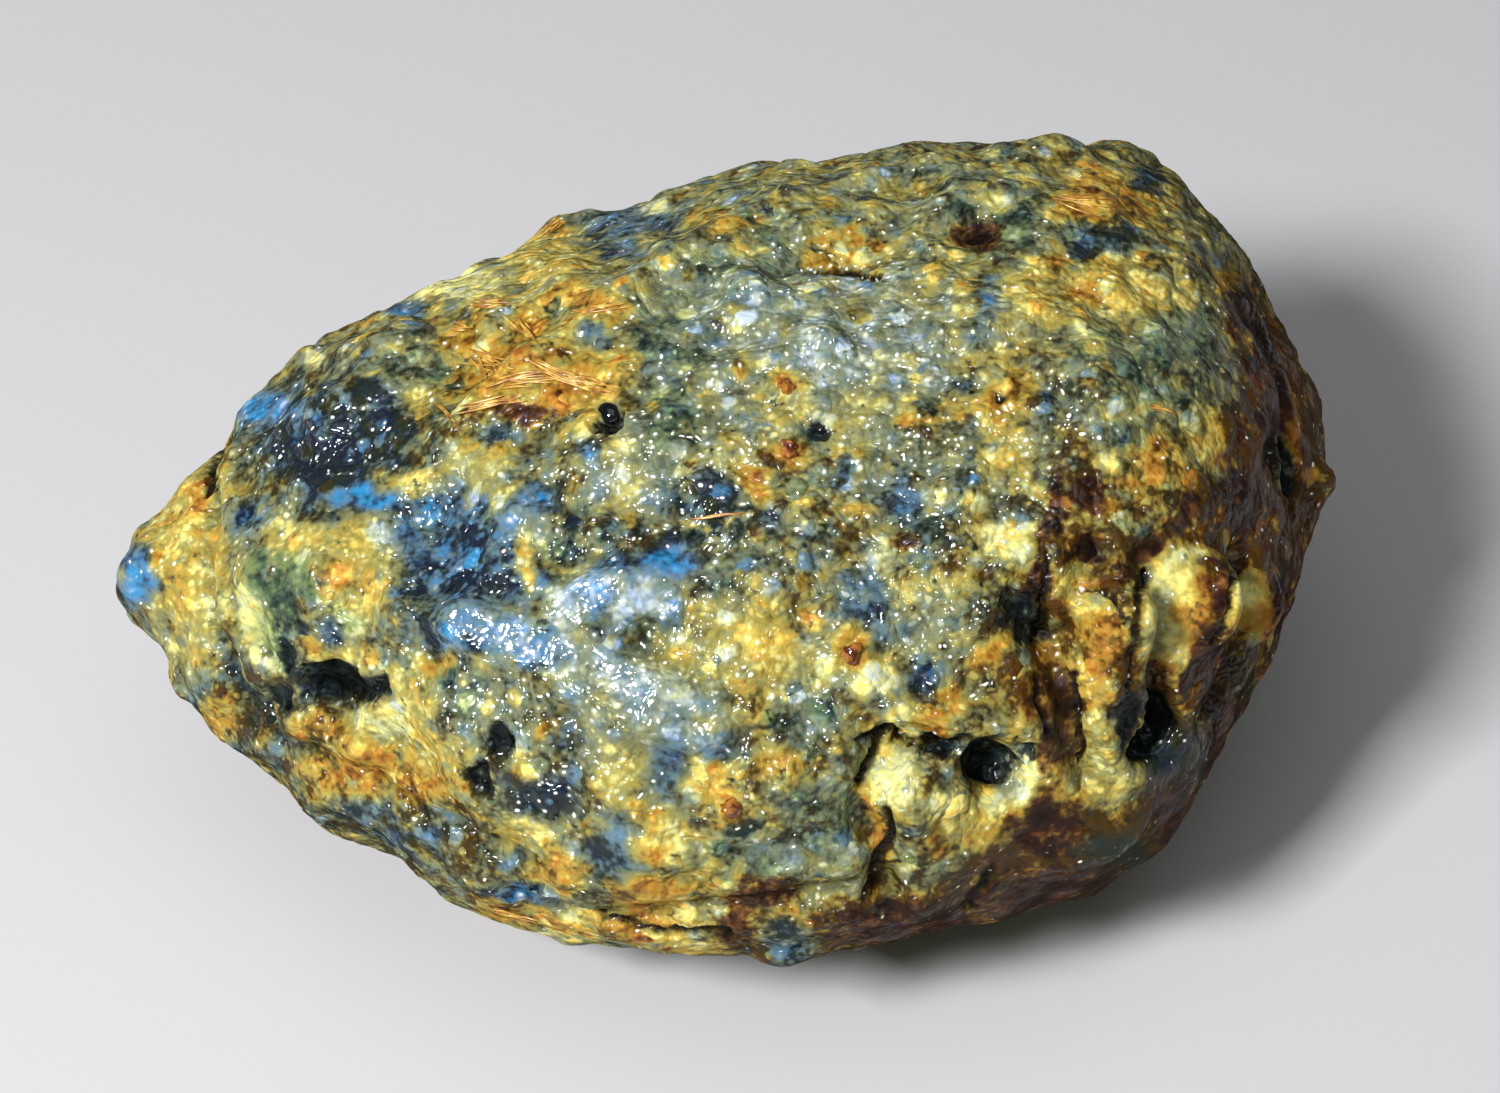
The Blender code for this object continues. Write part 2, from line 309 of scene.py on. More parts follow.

# %% Broad regions and glints
# Each region: pixel box, warmth, lightness, strength.
# Their lightness is partly the stone's own tone and partly painted light: the silvery top is
# painted sheen, the short flash a painted highlight, and the right end, the lower right and the low
# rim are dark resin painted darker still as shade, where the skin turns from the key light.
REGIONS = {
    "painted_sheen_top": ((640, 250, 980, 410), 0.43, 0.72, 0.75),
    "top_edge": ((560, 150, 1000, 270), 0.53, 0.60, 0.6),
    "right_field": ((940, 320, 1230, 480), 0.52, 0.46, 0.6),
    "top_right": ((1000, 150, 1230, 330), 0.63, 0.50, 0.5),
    "gold_right_top": ((1050, 270, 1195, 385), 0.72, 0.66, 0.5),
    "right_brown": ((1000, 460, 1290, 800), 0.76, 0.22, 0.78),
    "right_end": ((1215, 280, 1350, 720), 0.84, 0.12, 0.90),
    "lower_right": ((930, 810, 1260, 1000), 0.82, 0.12, 0.90),
    "low_rim": ((700, 890, 1000, 1010), 0.74, 0.18, 0.8),
    "nose_gold": ((130, 440, 230, 640), 0.68, 0.44, 0.6),
    "blue_field": ((390, 480, 560, 640), 0.22, 0.34, 0.7),
    "shoulder_dark": ((250, 380, 420, 500), 0.26, 0.20, 0.75),
    "lower_left": ((280, 700, 480, 820), 0.64, 0.38, 0.5),
    "low_teal": ((460, 720, 620, 850), 0.40, 0.36, 0.6),
    "low_gold": ((570, 790, 760, 940), 0.66, 0.62, 0.6),
    "low_grey": ((730, 780, 870, 920), 0.52, 0.52, 0.5),
    "centre_gold": ((640, 590, 900, 740), 0.57, 0.50, 0.6),
    "dark_centre": ((540, 500, 760, 620), 0.46, 0.26, 0.65),
    "dark_upper": ((820, 400, 960, 560), 0.44, 0.34, 0.4),
    "painted_flash_highlight": ((565, 568, 685, 632), 0.16, 0.86, 0.65),
    "block": ((860, 700, 1010, 860), 0.56, 0.44, 0.4),
    "fibre_bed": ((440, 330, 640, 430), 0.80, 0.54, 0.4),
    "upper_left": ((380, 250, 620, 400), 0.60, 0.50, 0.4),
    "gold_shoulder": ((480, 250, 650, 360), 0.68, 0.64, 0.4),
    "left_low": ((170, 640, 330, 780), 0.38, 0.30, 0.7),
    "under_nose": ((110, 600, 260, 760), 0.44, 0.22, 0.7),
    "low_left_rim": ((220, 770, 480, 920), 0.50, 0.24, 0.6),
    "right_centre": ((900, 490, 1060, 600), 0.58, 0.36, 0.5),
    "ridge_foot": ((600, 680, 740, 800), 0.56, 0.46, 0.5),
}
# Where the grains throw many pinpoint glints: the coat is glossier there, and more grains get a
# pale dot of painted glint.
SPARKLE = {
    "painted_sheen_top": (640, 250, 980, 410), "centre": (560, 390, 760, 530),
    "ridge": (430, 590, 740, 740), "shoulder": (260, 400, 380, 490),
    "right": (820, 400, 1100, 520), "low": (480, 700, 700, 820),
}
print("broad regions:", len(REGIONS), "and glittering ones:", len(SPARKLE))

# %% Green, pale and yellow marks
# Green resin that shows through like a window.
WINDOWS = {
    "round": (238, 550, 276, 604), "wide": (250, 550, 322, 612), "hollow": (252, 590, 292, 672),
    "rib": (334, 606, 360, 634), "centre": (918, 518, 950, 546),
}
GREEN = {
    "left_top": (373, 343, 462, 387),
    "granular": (418, 670, 484, 724), "sparkle": (690, 520, 752, 617),
    "ring": (628, 608, 659, 642), "centre": (915, 515, 954, 549),
    "eye": (540, 510, 597, 567), "low_right": (708, 838, 812, 882),
    "low_spot": (975, 868, 1002, 892), "dome": (670, 340, 709, 362),
    "upper_mid": (620, 300, 720, 460), "low_grains": (778, 773, 864, 852),
    "right_field": (1040, 320, 1180, 440), "top_right": (930, 180, 1060, 260),
    "right_top": (1130, 290, 1230, 420), "centre_low": (760, 690, 850, 760),
    "top_mid": (700, 200, 800, 300), "centre_up": (1000, 450, 1060, 520),
}
# The edge glint is a painted highlight on a small knob of the skin.
PALE = {
    "painted_edge_glint": (302, 350, 320, 366), "block": (866, 750, 916, 806),
    "lime_rib": (238, 590, 268, 668),
    "rib": (335, 605, 362, 637), "pit_streak": (350, 708, 404, 733),
    "top_left": (393, 258, 502, 297), "top_edge": (638, 195, 674, 217),
    "centre": (868, 540, 899, 569), "right_ridge": (985, 526, 1032, 566),
    "right_sage": (998, 735, 1039, 802), "under_pit": (923, 790, 972, 814),
    "under_pit_2": (978, 793, 1007, 819),
    "bead": (898, 848, 919, 869), "right_boss": (1138, 550, 1200, 656),
    "far_boss": (1227, 571, 1275, 632), "low_bright": (655, 828, 687, 862),
    "diamond": (749, 468, 768, 488), "slit": (780, 382, 796, 389),
    "facet": (1100, 453, 1117, 467), "low_centre": (848, 663, 902, 697),
    "low_edge": (543, 913, 597, 952), "facet_2": (885, 705, 922, 737),
}
YELLOW = {
    "nose": (145, 448, 229, 682), "left_top": (395, 378, 434, 404),
    "left_top_2": (360, 361, 382, 373), "window_top": (245, 518, 319, 557),
    "window_side": (320, 513, 392, 619), "above_pit": (323, 640, 372, 677),
    "right_of_pit": (398, 680, 432, 737), "right_of_pit_2": (400, 653, 437, 682),
    "low_left": (343, 733, 464, 774), "over_blue": (378, 473, 437, 494),
    "over_blue_2": (468, 483, 522, 502), "strip": (513, 530, 534, 582),
    "ridge": (563, 603, 589, 642), "centre": (738, 608, 752, 667),
    "top_left": (498, 215, 572, 287), "top_bit": (635, 228, 662, 249),
    "top_bit_2": (560, 280, 582, 309), "top_bit_3": (463, 288, 517, 312),
    "top": (725, 238, 757, 257), "top_2": (948, 275, 977, 289),
    "top_right": (998, 273, 1052, 322),
    "cluster": (963, 398, 992, 417), "cluster_2": (980, 425, 1032, 482),
    "heart": (735, 598, 794, 684), "low_hollow": (515, 745, 534, 774),
    "low_gold": (683, 758, 732, 804), "low_left_2": (498, 820, 557, 849),
    "under_pit": (953, 815, 1007, 844),
    "run_top": (1066, 586, 1104, 620), "run_foot": (1074, 668, 1112, 706),
    "right_up": (1190, 410, 1222, 457),
    "top_edge": (1015, 165, 1037, 187),
    "top_edge_2": (968, 188, 1009, 207), "top_edge_3": (1100, 165, 1129, 197),
    "top_mass": (1065, 268, 1177, 317), "top_bit_4": (1118, 243, 1142, 262),
    "top_bit_5": (1090, 253, 1117, 272), "slope": (1025, 285, 1067, 322),
    "slope_2": (1170, 283, 1194, 307), "low_edge": (640, 905, 720, 950),
}
LIME = {
    "upper": (603, 453, 647, 512), "centre_low": (640, 643, 732, 692),
    "upper_mid": (700, 368, 724, 412), "upper_mid_2": (605, 438, 637, 462),
    "top": (848, 310, 877, 332), "arc": (755, 393, 804, 417),
    "upper_bit": (848, 458, 864, 482), "bead": (780, 478, 812, 509),
    "bit": (955, 568, 972, 592), "right_top": (1045, 560, 1085, 600),
    "right_mid": (1070, 325, 1112, 347), "slab_edge": (1058, 653, 1077, 702),
    "slab_mass": (1075, 702, 1120, 765), "slab_mass_2": (1060, 750, 1146, 808),
    "block": (862, 748, 917, 810), "low_net": (595, 745, 652, 812),
    "ridge_side": (650, 590, 672, 612), "sparkle": (700, 590, 740, 640),
    "upper_far": (820, 395, 880, 450), "upper_left": (560, 395, 600, 425),
    "centre_up": (700, 440, 760, 480), "right_field": (1090, 395, 1150, 430),
    "mid": (880, 575, 960, 610), "low_mid": (780, 640, 840, 700),
    "low_right": (925, 800, 985, 830), "low_knob": (800, 850, 850, 905),
    "boss_low": (1141, 640, 1200, 668), "left_mid": (440, 450, 500, 490),
}
print("green, pale and yellow marks:", sum(map(len, (WINDOWS, GREEN, PALE, YELLOW, LIME))))

# %% Orange, red and black marks
ORANGE = {
    "window": (313, 560, 352, 597), "rib": (295, 638, 312, 652),
    "plateau_edge": (428, 650, 457, 677), "pit_edge": (283, 705, 347, 742),
    "low_left": (303, 740, 397, 802), "low_left_2": (393, 765, 472, 799),
    "nose": (186, 488, 213, 519), "upper_left": (485, 440, 512, 462),
    "upper_bit": (623, 510, 637, 520), "top_left": (538, 218, 567, 237),
    "top_left_2": (570, 293, 637, 317), "top_left_3": (513, 308, 542, 342),
    "fibres": (450, 345, 614, 415), "fibre_heart": (468, 335, 517, 372),
    "by_hole": (610, 348, 639, 384), "by_hole_2": (640, 393, 659, 407),
    "left": (440, 328, 477, 354), "top_streak": (808, 250, 867, 269),
    "top_haze": (820, 228, 882, 249), "cluster": (983, 373, 1027, 429),
    "slit": (773, 370, 812, 394), "mid": (773, 433, 807, 462),
    "diamond": (740, 463, 777, 497), "upper": (895, 410, 942, 429),
    "crystal": (838, 628, 867, 672), "right": (930, 675, 954, 697), "run": (1082, 612, 1128, 688),
    "right_2": (970, 653, 1002, 679), "slab_top": (1028, 668, 1052, 722),
    "beads": (918, 700, 962, 737), "low_dot": (533, 723, 549, 737),
    "low_crystal": (715, 785, 754, 824), "low_bit": (628, 835, 662, 862),
    "low_bit_2": (538, 850, 582, 892), "low_lip": (475, 900, 547, 927),
    "ledge": (603, 873, 679, 917), "low_band": (588, 913, 692, 942),
    "low_glow": (745, 750, 812, 787), "block_side": (853, 783, 877, 819),
    "boss": (1166, 593, 1212, 629), "boss_side": (1198, 568, 1232, 622),
    "far_rim": (1238, 600, 1280, 640), "crescent": (1145, 438, 1169, 484),
    "right_bit": (1178, 465, 1202, 489), "right_bit_2": (1170, 518, 1189, 532),
    "edge_rib": (1280, 380, 1304, 457), "edge_bead": (1305, 468, 1322, 484),
    "top_run": (1048, 185, 1119, 222), "top_run_2": (1108, 190, 1162, 222),
    "top_run_3": (1060, 163, 1112, 184), "top_bit": (1045, 248, 1072, 267),
    "top_mass": (1068, 283, 1097, 302), "top_end": (1208, 270, 1239, 297),
    "top_edge": (700, 205, 760, 235), "centre_bit": (850, 500, 880, 520),
    "nose_low": (200, 690, 240, 740),
}
RED = {
    "centre": (888, 535, 917, 554), "right": (1028, 543, 1052, 597),
    "spot": (1069, 478, 1109, 517), "spot_2": (1063, 534, 1103, 567),
    "spot_3": (1108, 558, 1142, 594), "spot_4": (1048, 485, 1064, 542),
    "column": (1181, 620, 1227, 712), "groove": (1252, 371, 1292, 446),
    "end": (1228, 280, 1262, 334), "end_2": (1245, 350, 1287, 392),
    "low_band": (960, 860, 1190, 950), "low_band_2": (815, 895, 980, 960),
    "right_low": (1145, 778, 1232, 862), "slab": (1026, 653, 1082, 777),
    "cheek": (1010, 793, 1082, 861), "low": (718, 878, 802, 911),
    "low_2": (718, 908, 752, 947), "right_end": (1203, 465, 1269, 544),
    "top_dimple": (952, 220, 997, 254), "far_low": (1200, 680, 1260, 800),
    "far_low_2": (1272, 560, 1300, 680), "under_fibres": (480, 400, 560, 425),
}
BLACK = {
    "rib_end": (268, 643, 292, 667),
    "pit": (298, 664, 356, 704), "pit_2": (264, 686, 292, 714),
    "pit_tail": (340, 680, 388, 702),
    "low_hole": (490, 723, 512, 754), "low_hole_2": (474, 760, 494, 799),
    "dome_hole": (599, 408, 621, 426), "dot": (809, 420, 830, 438),
    "right_pit": (1000, 588, 1044, 642), "under_block": (964, 744, 1012, 782),
    "under_block_2": (926, 733, 966, 754), "small": (1015, 740, 1037, 757),
    "right_pits": (1112, 694, 1172, 754),
    "end_crack": (1268, 448, 1296, 476), "eye_dot": (786, 486, 797, 493),
    "cluster_dot": (1003, 395, 1013, 404), "block_top": (862, 728, 892, 742),
}
print("orange, red and black marks:", sum(map(len, (ORANGE, RED, BLACK))))

# %% Smooth places and strokes
SMOOTH = {
    "nose_tip": (115, 540, 160, 620), "lens": (325, 480, 404, 512),
    "low_band": (900, 855, 1200, 965), "right_low": (1120, 740, 1250, 880),
    "cheek": (1005, 785, 1090, 870), "slab": (1030, 650, 1078, 770),
    "boss": (1136, 545, 1215, 665), "far_boss": (1225, 570, 1278, 635),
    "sky": (628, 535, 700, 585),
    "low_glass": (585, 820, 642, 912), "groove": (1250, 370, 1330, 500),
    "low_facet": (648, 738, 692, 802), "window": (238, 553, 322, 612),
    "lower_right": (930, 810, 1260, 1000),
}
# A stroke is a family, half its width in pixels, and the points that it runs through.
STROKES = {
    "run_arc": ("crack", 2.6, (1085, 588), (1104, 592), (1120, 607), (1132, 628), (1134, 650),
                (1132, 692)),
    "run_left": ("crack", 3.5, (1045, 565), (1044, 592), (1047, 612), (1042, 640)),
    "slab_right": ("crack", 3.2, (1068, 672), (1076, 700), (1079, 730), (1081, 760)),
    "slab_left": ("crack", 1.6, (1036, 672), (1039, 702), (1046, 732)),
    "boss_left": ("crack", 3.4, (1146, 572), (1138, 602), (1136, 632), (1140, 655)),
    "boss_right": ("red", 7.0, (1226, 560), (1220, 597), (1214, 622), (1204, 645),
                   (1195, 668), (1186, 690)),
    "far_left": ("crack", 3.0, (1236, 572), (1231, 597), (1224, 622), (1216, 640)),
    "block_left": ("crack", 3.6, (886, 728), (880, 742), (874, 757), (864, 768), (859, 780)),
    "block_low": ("crack", 4.2, (884, 812), (889, 834), (881, 860), (874, 878), (866, 902)),
    "block_side": ("orange", 5.0, (858, 786), (868, 800), (873, 814), (878, 832), (876, 846)),
    "over_block": ("crack", 3.4, (888, 728), (902, 738), (922, 741), (940, 742), (958, 744)),
    "low_crack": ("crack", 3.4, (996, 869), (982, 888), (968, 904)),
    "edge_rib": ("orange", 4.5, (1284, 384), (1286, 415), (1292, 442), (1302, 466), (1312, 478)),
    "red_run": ("red", 6.0, (1056, 480), (1053, 515), (1043, 542), (1037, 572), (1026, 590)),
    "red_run_2": ("red", 7.0, (1196, 495), (1191, 513), (1176, 528), (1158, 543), (1136, 558)),
    "boss_rim": ("pale", 4.0, (1168, 562), (1186, 551), (1206, 550), (1232, 557)),
    "right_ridge": ("pale", 5.0, (978, 556), (996, 547), (1016, 538), (1032, 528)),
    "crescent": ("orange", 5.0, (1151, 442), (1161, 452), (1164, 466), (1156, 480)),
    "gold_fall": ("yellow", 6.0, (1197, 408), (1200, 430), (1206, 456)),
    "gold_slope": ("yellow", 7.0, (982, 425), (995, 437), (1010, 452), (1025, 467), (1033, 488)),
    "gold_bow": ("yellow", 5.0, (1142, 406), (1160, 402), (1177, 414)),
    "groove": ("red", 9.0, (1262, 330), (1274, 372), (1276, 410), (1272, 446)),
    "groove_low": ("black", 9.0, (1278, 446), (1284, 466), (1292, 484)),
    "nose_groove": ("crack", 3.0, (226, 440), (214, 466), (208, 492)),
    "nose_rim": ("navy", 4.0, (207, 500), (206, 530), (208, 570), (216, 615), (228, 655),
                 (240, 690)),
    "lime_rib": ("pale", 7.0, (240, 592), (248, 625), (262, 652), (276, 668)),
    "pit_rim": ("yellow", 6.0, (330, 655), (362, 660), (392, 672), (410, 700)),
    "pit_lip": ("pale", 5.0, (352, 716), (384, 721), (408, 730)),
    "blue_edge": ("blue", 7.0, (455, 634), (490, 640), (528, 650)),
    "ring": ("lime", 4.0, (545, 520), (542, 548), (556, 570), (582, 572), (598, 552)),
    "curl": ("yellow", 2.6, (684, 520), (700, 530), (720, 527), (736, 514), (748, 513)),
    "drip": ("orange", 5.0, (522, 528), (518, 548), (526, 572), (530, 584)),
    "orange_rim": ("orange", 5.0, (914, 722), (932, 728), (948, 718), (958, 704)),
    "low_lip": ("orange", 5.0, (478, 903), (512, 908), (548, 922), (590, 936)),
    "ledge": ("orange", 6.0, (606, 885), (640, 893), (676, 904)),
    "ledge_shade": ("crack", 3.0, (600, 913), (640, 924), (690, 936), (730, 934)),
    "eye_rim": ("yellow", 4.0, (516, 748), (520, 768), (536, 776)),
    "top_streak": ("orange", 4.0, (806, 262), (836, 258), (866, 262)),
    "top_shade": ("crack", 2.5, (812, 272), (846, 270), (880, 276)),
}
print("smooth places:", len(SMOOTH), "and strokes:", len(STROKES))

# %% [markdown]
# ## From marks to warmth and lightness
# Painting each colour apart would leave hard seams. The real stone goes smoothly from blue
# over olive and gold to rust, and from dark to light, so two numbers describe most of it:
# warmth and lightness. Broad regions set both first, and then each family of marks pulls them
# its own way. Only the face that the photograph shows takes the marks. They fade out towards
# its edge, and the sides, back and underside, which no one sees, get patches from noise alone.

# %% Coverage of each family


def noise_at(points, size, seed, detail=1):
    """Smooth noise from about -1 to 1, with lumps of this size in mm."""
    total = np.zeros(len(points))
    strength = 1.0
    for step in range(detail):
        shifted = points / size * 2 ** step + seed * 7.13
        total += strength * np.array([noise.noise(Vector(p)) for p in shifted])
        strength *= 0.5
    return total


def smooth_step(low, high, value):
    """0 below low, 1 above high, and a soft ramp between."""
    part = np.clip((value - low) / (high - low), 0, 1)
    return part * part * (3 - 2 * part)


def marked(boxes, across, down, soft=0.5):
    """How far each point is inside the ellipses of these pixel boxes, from 0 to 1."""
    cover = np.zeros(len(across))
    for left, top, right, bottom in boxes.values():
        u = (across - (left + right) / 2) / ((right - left) / 2)
        v = (down - (top + bottom) / 2) / ((bottom - top) / 2)
        cover = np.maximum(cover, 1 - smooth_step(1 - soft, 1 + soft, np.hypot(u, v)))
    return cover


def beside(start, end, across, down):
    """How far along the line each point lies, from 0 to 1, and how many pixels off it."""
    (x0, y0), (x1, y1) = start, end
    run = (across - x0) * (x1 - x0) + (down - y0) * (y1 - y0)
    run = np.clip(run / ((x1 - x0) ** 2 + (y1 - y0) ** 2), 0, 1)
    return run, np.hypot(across - x0 - run * (x1 - x0), down - y0 - run * (y1 - y0))


def stroked(family, across, down):
    """How far each point is inside the strokes of this family, from 0 to 1."""
    cover = np.zeros(len(across))
    for kind, half_width, *track in STROKES.values():
        if kind != family:
            continue
        for start, end in zip(track, track[1:]):
            _, off = beside(start, end, across, down)
            cover = np.maximum(cover, 1 - smooth_step(0.6, 1.7, off / half_width))
    return cover


# %% Marks bent by noise and laid on the skin
# Noise moves the marks' edges by so many pixels, in lumps of so many mm.
SWAY, SWAY_LUMP = 7, 2.2
FRAY, STROKE_FRAY, FRAY_LUMP = 10, 4, 0.9
# Marks fade out where the skin turns away from the camera: cosines of that angle.
TURNED_AWAY, TURNED_TO = 0.0, 0.17
points = places(nugget)
facing = smooth_step(TURNED_AWAY, TURNED_TO, normals(nugget) @ CAMERA_BACK)
across_plain, down_plain = photo_pixels(points)
fray_across = noise_at(points, FRAY_LUMP, 5, 2)
fray_down = noise_at(points, FRAY_LUMP, 6, 2)
across_fine = across_plain + STROKE_FRAY * fray_across
down_fine = down_plain + STROKE_FRAY * fray_down
across = across_plain + SWAY * noise_at(points, SWAY_LUMP, 1) + FRAY * fray_across
down = down_plain + SWAY * noise_at(points, SWAY_LUMP, 3) + FRAY * fray_down
# Each family: its marks, its warmth (0 blue, 0.5 olive, 1 rust), its lightness, its strength.
# The haze family paints sheen: it only makes the skin paler where it glints.
FAMILIES = {
    "green": (GREEN, 0.38, 0.38, 0.70), "haze": (PAINTED_SHEEN_MARKS, 0.32, 0.70, 0.45),
    "navy": (NAVY, 0.17, 0.14, 0.80), "blue": (BLUE, 0.14, 0.40, 0.80),
    "lime": (LIME, 0.59, 0.74, 0.75), "yellow": (YELLOW, 0.68, 0.76, 0.82),
    "pale": (PALE, 0.56, 1.00, 0.90), "orange": (ORANGE, 0.88, 0.54, 0.70),
    "red": (RED, 0.85, 0.25, 0.60), "crack": ({}, 0.60, 0.05, 0.75),
    "black": (BLACK, 0.30, 0.10, 0.80), "sky": (SKY, 0.00, 0.54, 0.90),
}
BASE_WARMTH, BASE_LIGHTNESS = 0.49, 0.44
named = {}
warmth = np.full(len(points), BASE_WARMTH)
lightness = np.full(len(points), BASE_LIGHTNESS)
for name, (box, warm, light, strength) in REGIONS.items():
    share = marked({name: box}, across, down, 0.7) * strength * facing
    warmth += share * (warm - warmth)
    lightness += share * (light - lightness)
for family, (boxes, warm, light, strength) in FAMILIES.items():
    named[family] = np.maximum(marked(boxes, across, down),
                               stroked(family, across_fine, down_fine))
    share = named[family] * strength * facing
    warmth += share * (warm - warmth)
    lightness += share * (light - lightness)
smooth_places = marked(SMOOTH, across, down) * facing
print("points on named marks:", int((sum(named.values()) > 0.5).sum()), "of", len(points))

# %% [markdown]
# ## Pebbles packed side by side
# Up close the skin is a mosaic of pebbles set in the resin. Seeded random points on the skin
# are the pebbles' middles, and every point of the skin belongs to the nearest one. The
# distance to the next pebble gives the dip between them. A Voronoi texture could do the same,
# but this way each pebble also gets a height of its own.

# %% Mosaic of pebbles
PEBBLE_COUNT = 2600
PEBBLE_BEND_MM, PEBBLE_BEND_LUMP = 0.30, 0.7
chance = np.random.default_rng(11)
middles = points[chance.choice(len(points), PEBBLE_COUNT, replace=False)]
bent = points + PEBBLE_BEND_MM * np.column_stack(
    [noise_at(points, PEBBLE_BEND_LUMP, 50 + axis, 2) for axis in range(3)])
finder = KDTree(PEBBLE_COUNT)
for number, middle in enumerate(middles):
    finder.insert(middle, number)
finder.balance()
nearest = np.empty(len(points), dtype=int)
border = np.empty(len(points))
for number, place in enumerate(bent):
    (_, own, near), (_, _, next_near) = finder.find_n(place, 2)
    nearest[number] = own
    border[number] = next_near - near
pebble_height = chance.random((PEBBLE_COUNT, 3))[nearest, 2]
pebble_dome = smooth_step(0.0, 0.80, border)
print("mean width of a pebble in mm:", round(math.sqrt(len(points) / PEBBLE_COUNT) * RESIN_FACE, 2))

# %% [markdown]
# The sides that the photograph doesn't show get patches of the same colours from noise, from
# two and a half to six millimetres wide. Everything the material needs to know about a point
# is then kept under one name each.

# %% Unseen sides, and all that the skin stores
PATCH_WARMTH, PATCH_LIGHTNESS, GREEN_SHARE = 0.30, 0.20, 0.5
GREEN_GRAINS = 0.45
unseen = 1 - facing
warmth += unseen * PATCH_WARMTH * noise_at(points, 4.5, 31, 3)
lightness += unseen * PATCH_LIGHTNESS * noise_at(points, 3.5, 35, 2)
resin_patches = smooth_step(0.25, 0.50, noise_at(points, 6.0, 33, 2))
green_patches = smooth_step(0.10, 0.45, noise_at(points, 2.6, 37, 2))
coverage = {
    "warmth": warmth, "lightness": lightness, "smooth": smooth_places,
    "red": facing * named["red"] + unseen * resin_patches,
    "black": facing * named["black"], "crack": facing * named["crack"],
    "sparkle": facing * marked(SPARKLE, across, down),
    "calm": facing * np.clip(sum(named.values()), 0, 1),
    "green": facing * np.maximum(marked(WINDOWS, across, down), GREEN_GRAINS * named["green"])
    + unseen * GREEN_SHARE * green_patches,
    "shade": smooth_step(0.50, -0.10, normals(nugget)[:, 2]),
}
for name, values in coverage.items():
    print(name, "averages", round(float(values.mean()), 3))

# %% [markdown]
# ## Lumps, flashes, pebbles and pits
# Three things shape the skin. A Displace modifier with a clouds texture swells it into lumps
# a millimetre and a half wide. Where the real nugget flashes, the skin is tipped until it
# mirrors the key light to the camera: a glint is a matter of angle, so it is built, and a paler
# colour is painted round it as highlight as well. Then the pebbles are pushed out, and the pits
# and cracks in. Near the floor all of it fades, so that the nugget still lies flat.

# %% Flashes and the tools that shape the skin
FLASH_LIFT = 0.9
WEIGHT_STEPS = 64
# Where the real nugget flashes: half the width in pixels, and the points of the line.
FLASHES = {
    "long_ridge": (17, (462, 622), (520, 640), (560, 652), (600, 668), (650, 695), (704, 724)),
    "short_ridge": (14, (570, 613), (600, 592), (630, 588), (660, 596)),
    "plateau": (9, (516, 520), (534, 521)), "upper": (8, (595, 487), (607, 484)),
    "upper_right": (7, (651, 498), (659, 502)), "top": (9, (741, 292), (753, 293)),
    "top_right": (8, (809, 358), (820, 360)), "under": (10, (556, 662), (568, 690)),
    "low": (7, (815, 704), (817, 722)), "low_left": (5, (538, 890), (546, 892)),
}


def face_the_light(skin, across, down, facing):
    """Turns the skin along each flash so that it mirrors the key light to the camera."""
    mirror = toward(KEY_AZIMUTH, KEY_ELEVATION) + CAMERA_BACK
    mirror /= np.linalg.norm(mirror)
    front = np.nonzero(facing > 0.5)[0]
    flash = np.zeros(len(skin))
    for half_width, *track in FLASHES.values():
        held = []
        for x, y in track:
            near = front[np.argmin(np.hypot(across[front] - x, down[front] - y))]
            held.append(skin[near].copy())
        best = np.full(len(skin), np.inf)
        shift = np.zeros(len(skin))
        for start, end, a, b in zip(track, track[1:], held, held[1:]):
            run, off = beside(start, end, across, down)
            anchor = a + run[:, None] * (b - a)
            lift = ((anchor - skin) @ mirror) / (CAMERA_BACK @ mirror)
            closer = off < best
            best = np.where(closer, off, best)
            shift = np.where(closer, lift, shift)
        weight = (1 - smooth_step(0.8, 2.2, best / half_width)) * (facing > 0.3)
        skin = skin + CAMERA_BACK * (np.clip(shift, -FLASH_LIFT, FLASH_LIFT) * weight)[:, None]
        flash = np.maximum(flash, weight)
    return skin, flash


def weight_group(piece, name, weights):
    """A vertex group that holds one weight per point, in even steps."""
    group = piece.vertex_groups.new(name=name)
    steps = np.round(np.clip(weights, 0, 1) * WEIGHT_STEPS).astype(int)
    for step in range(1, WEIGHT_STEPS + 1):
        chosen = np.nonzero(steps == step)[0]
        if len(chosen):
            group.add(chosen.tolist(), step / WEIGHT_STEPS, "REPLACE")


def relief_texture(name, kind, size, **settings):
    """A Blender texture for a Displace modifier, with features of this size in mm."""
    made = bpy.data.textures.new(name, kind)
    made.noise_scale = size * MM
    for key, value in settings.items():
        setattr(made, key, value)
    return made


def averaged(piece, values, rounds):
    """One value per point, averaged again and again with the point's neighbours."""
    ends = np.empty(len(piece.data.edges) * 2, dtype=np.int32)
    piece.data.edges.foreach_get("vertices", ends)
    first, second = ends.reshape(-1, 2).T
    count = np.bincount(ends, minlength=len(values))
    for _ in range(rounds):
        values = (np.bincount(first, values[second], len(values))
                  + np.bincount(second, values[first], len(values))) / count
    return values


def surface_height(piece, rounds):
    """How far each point stands above the average of its neighbourhood, in mm."""
    here = places(piece)
    around = np.column_stack([averaged(piece, here[:, axis], rounds) for axis in range(3)])
    return np.einsum("ij,ij->i", here - around, normals(piece))


print("flashes:", len(FLASHES))
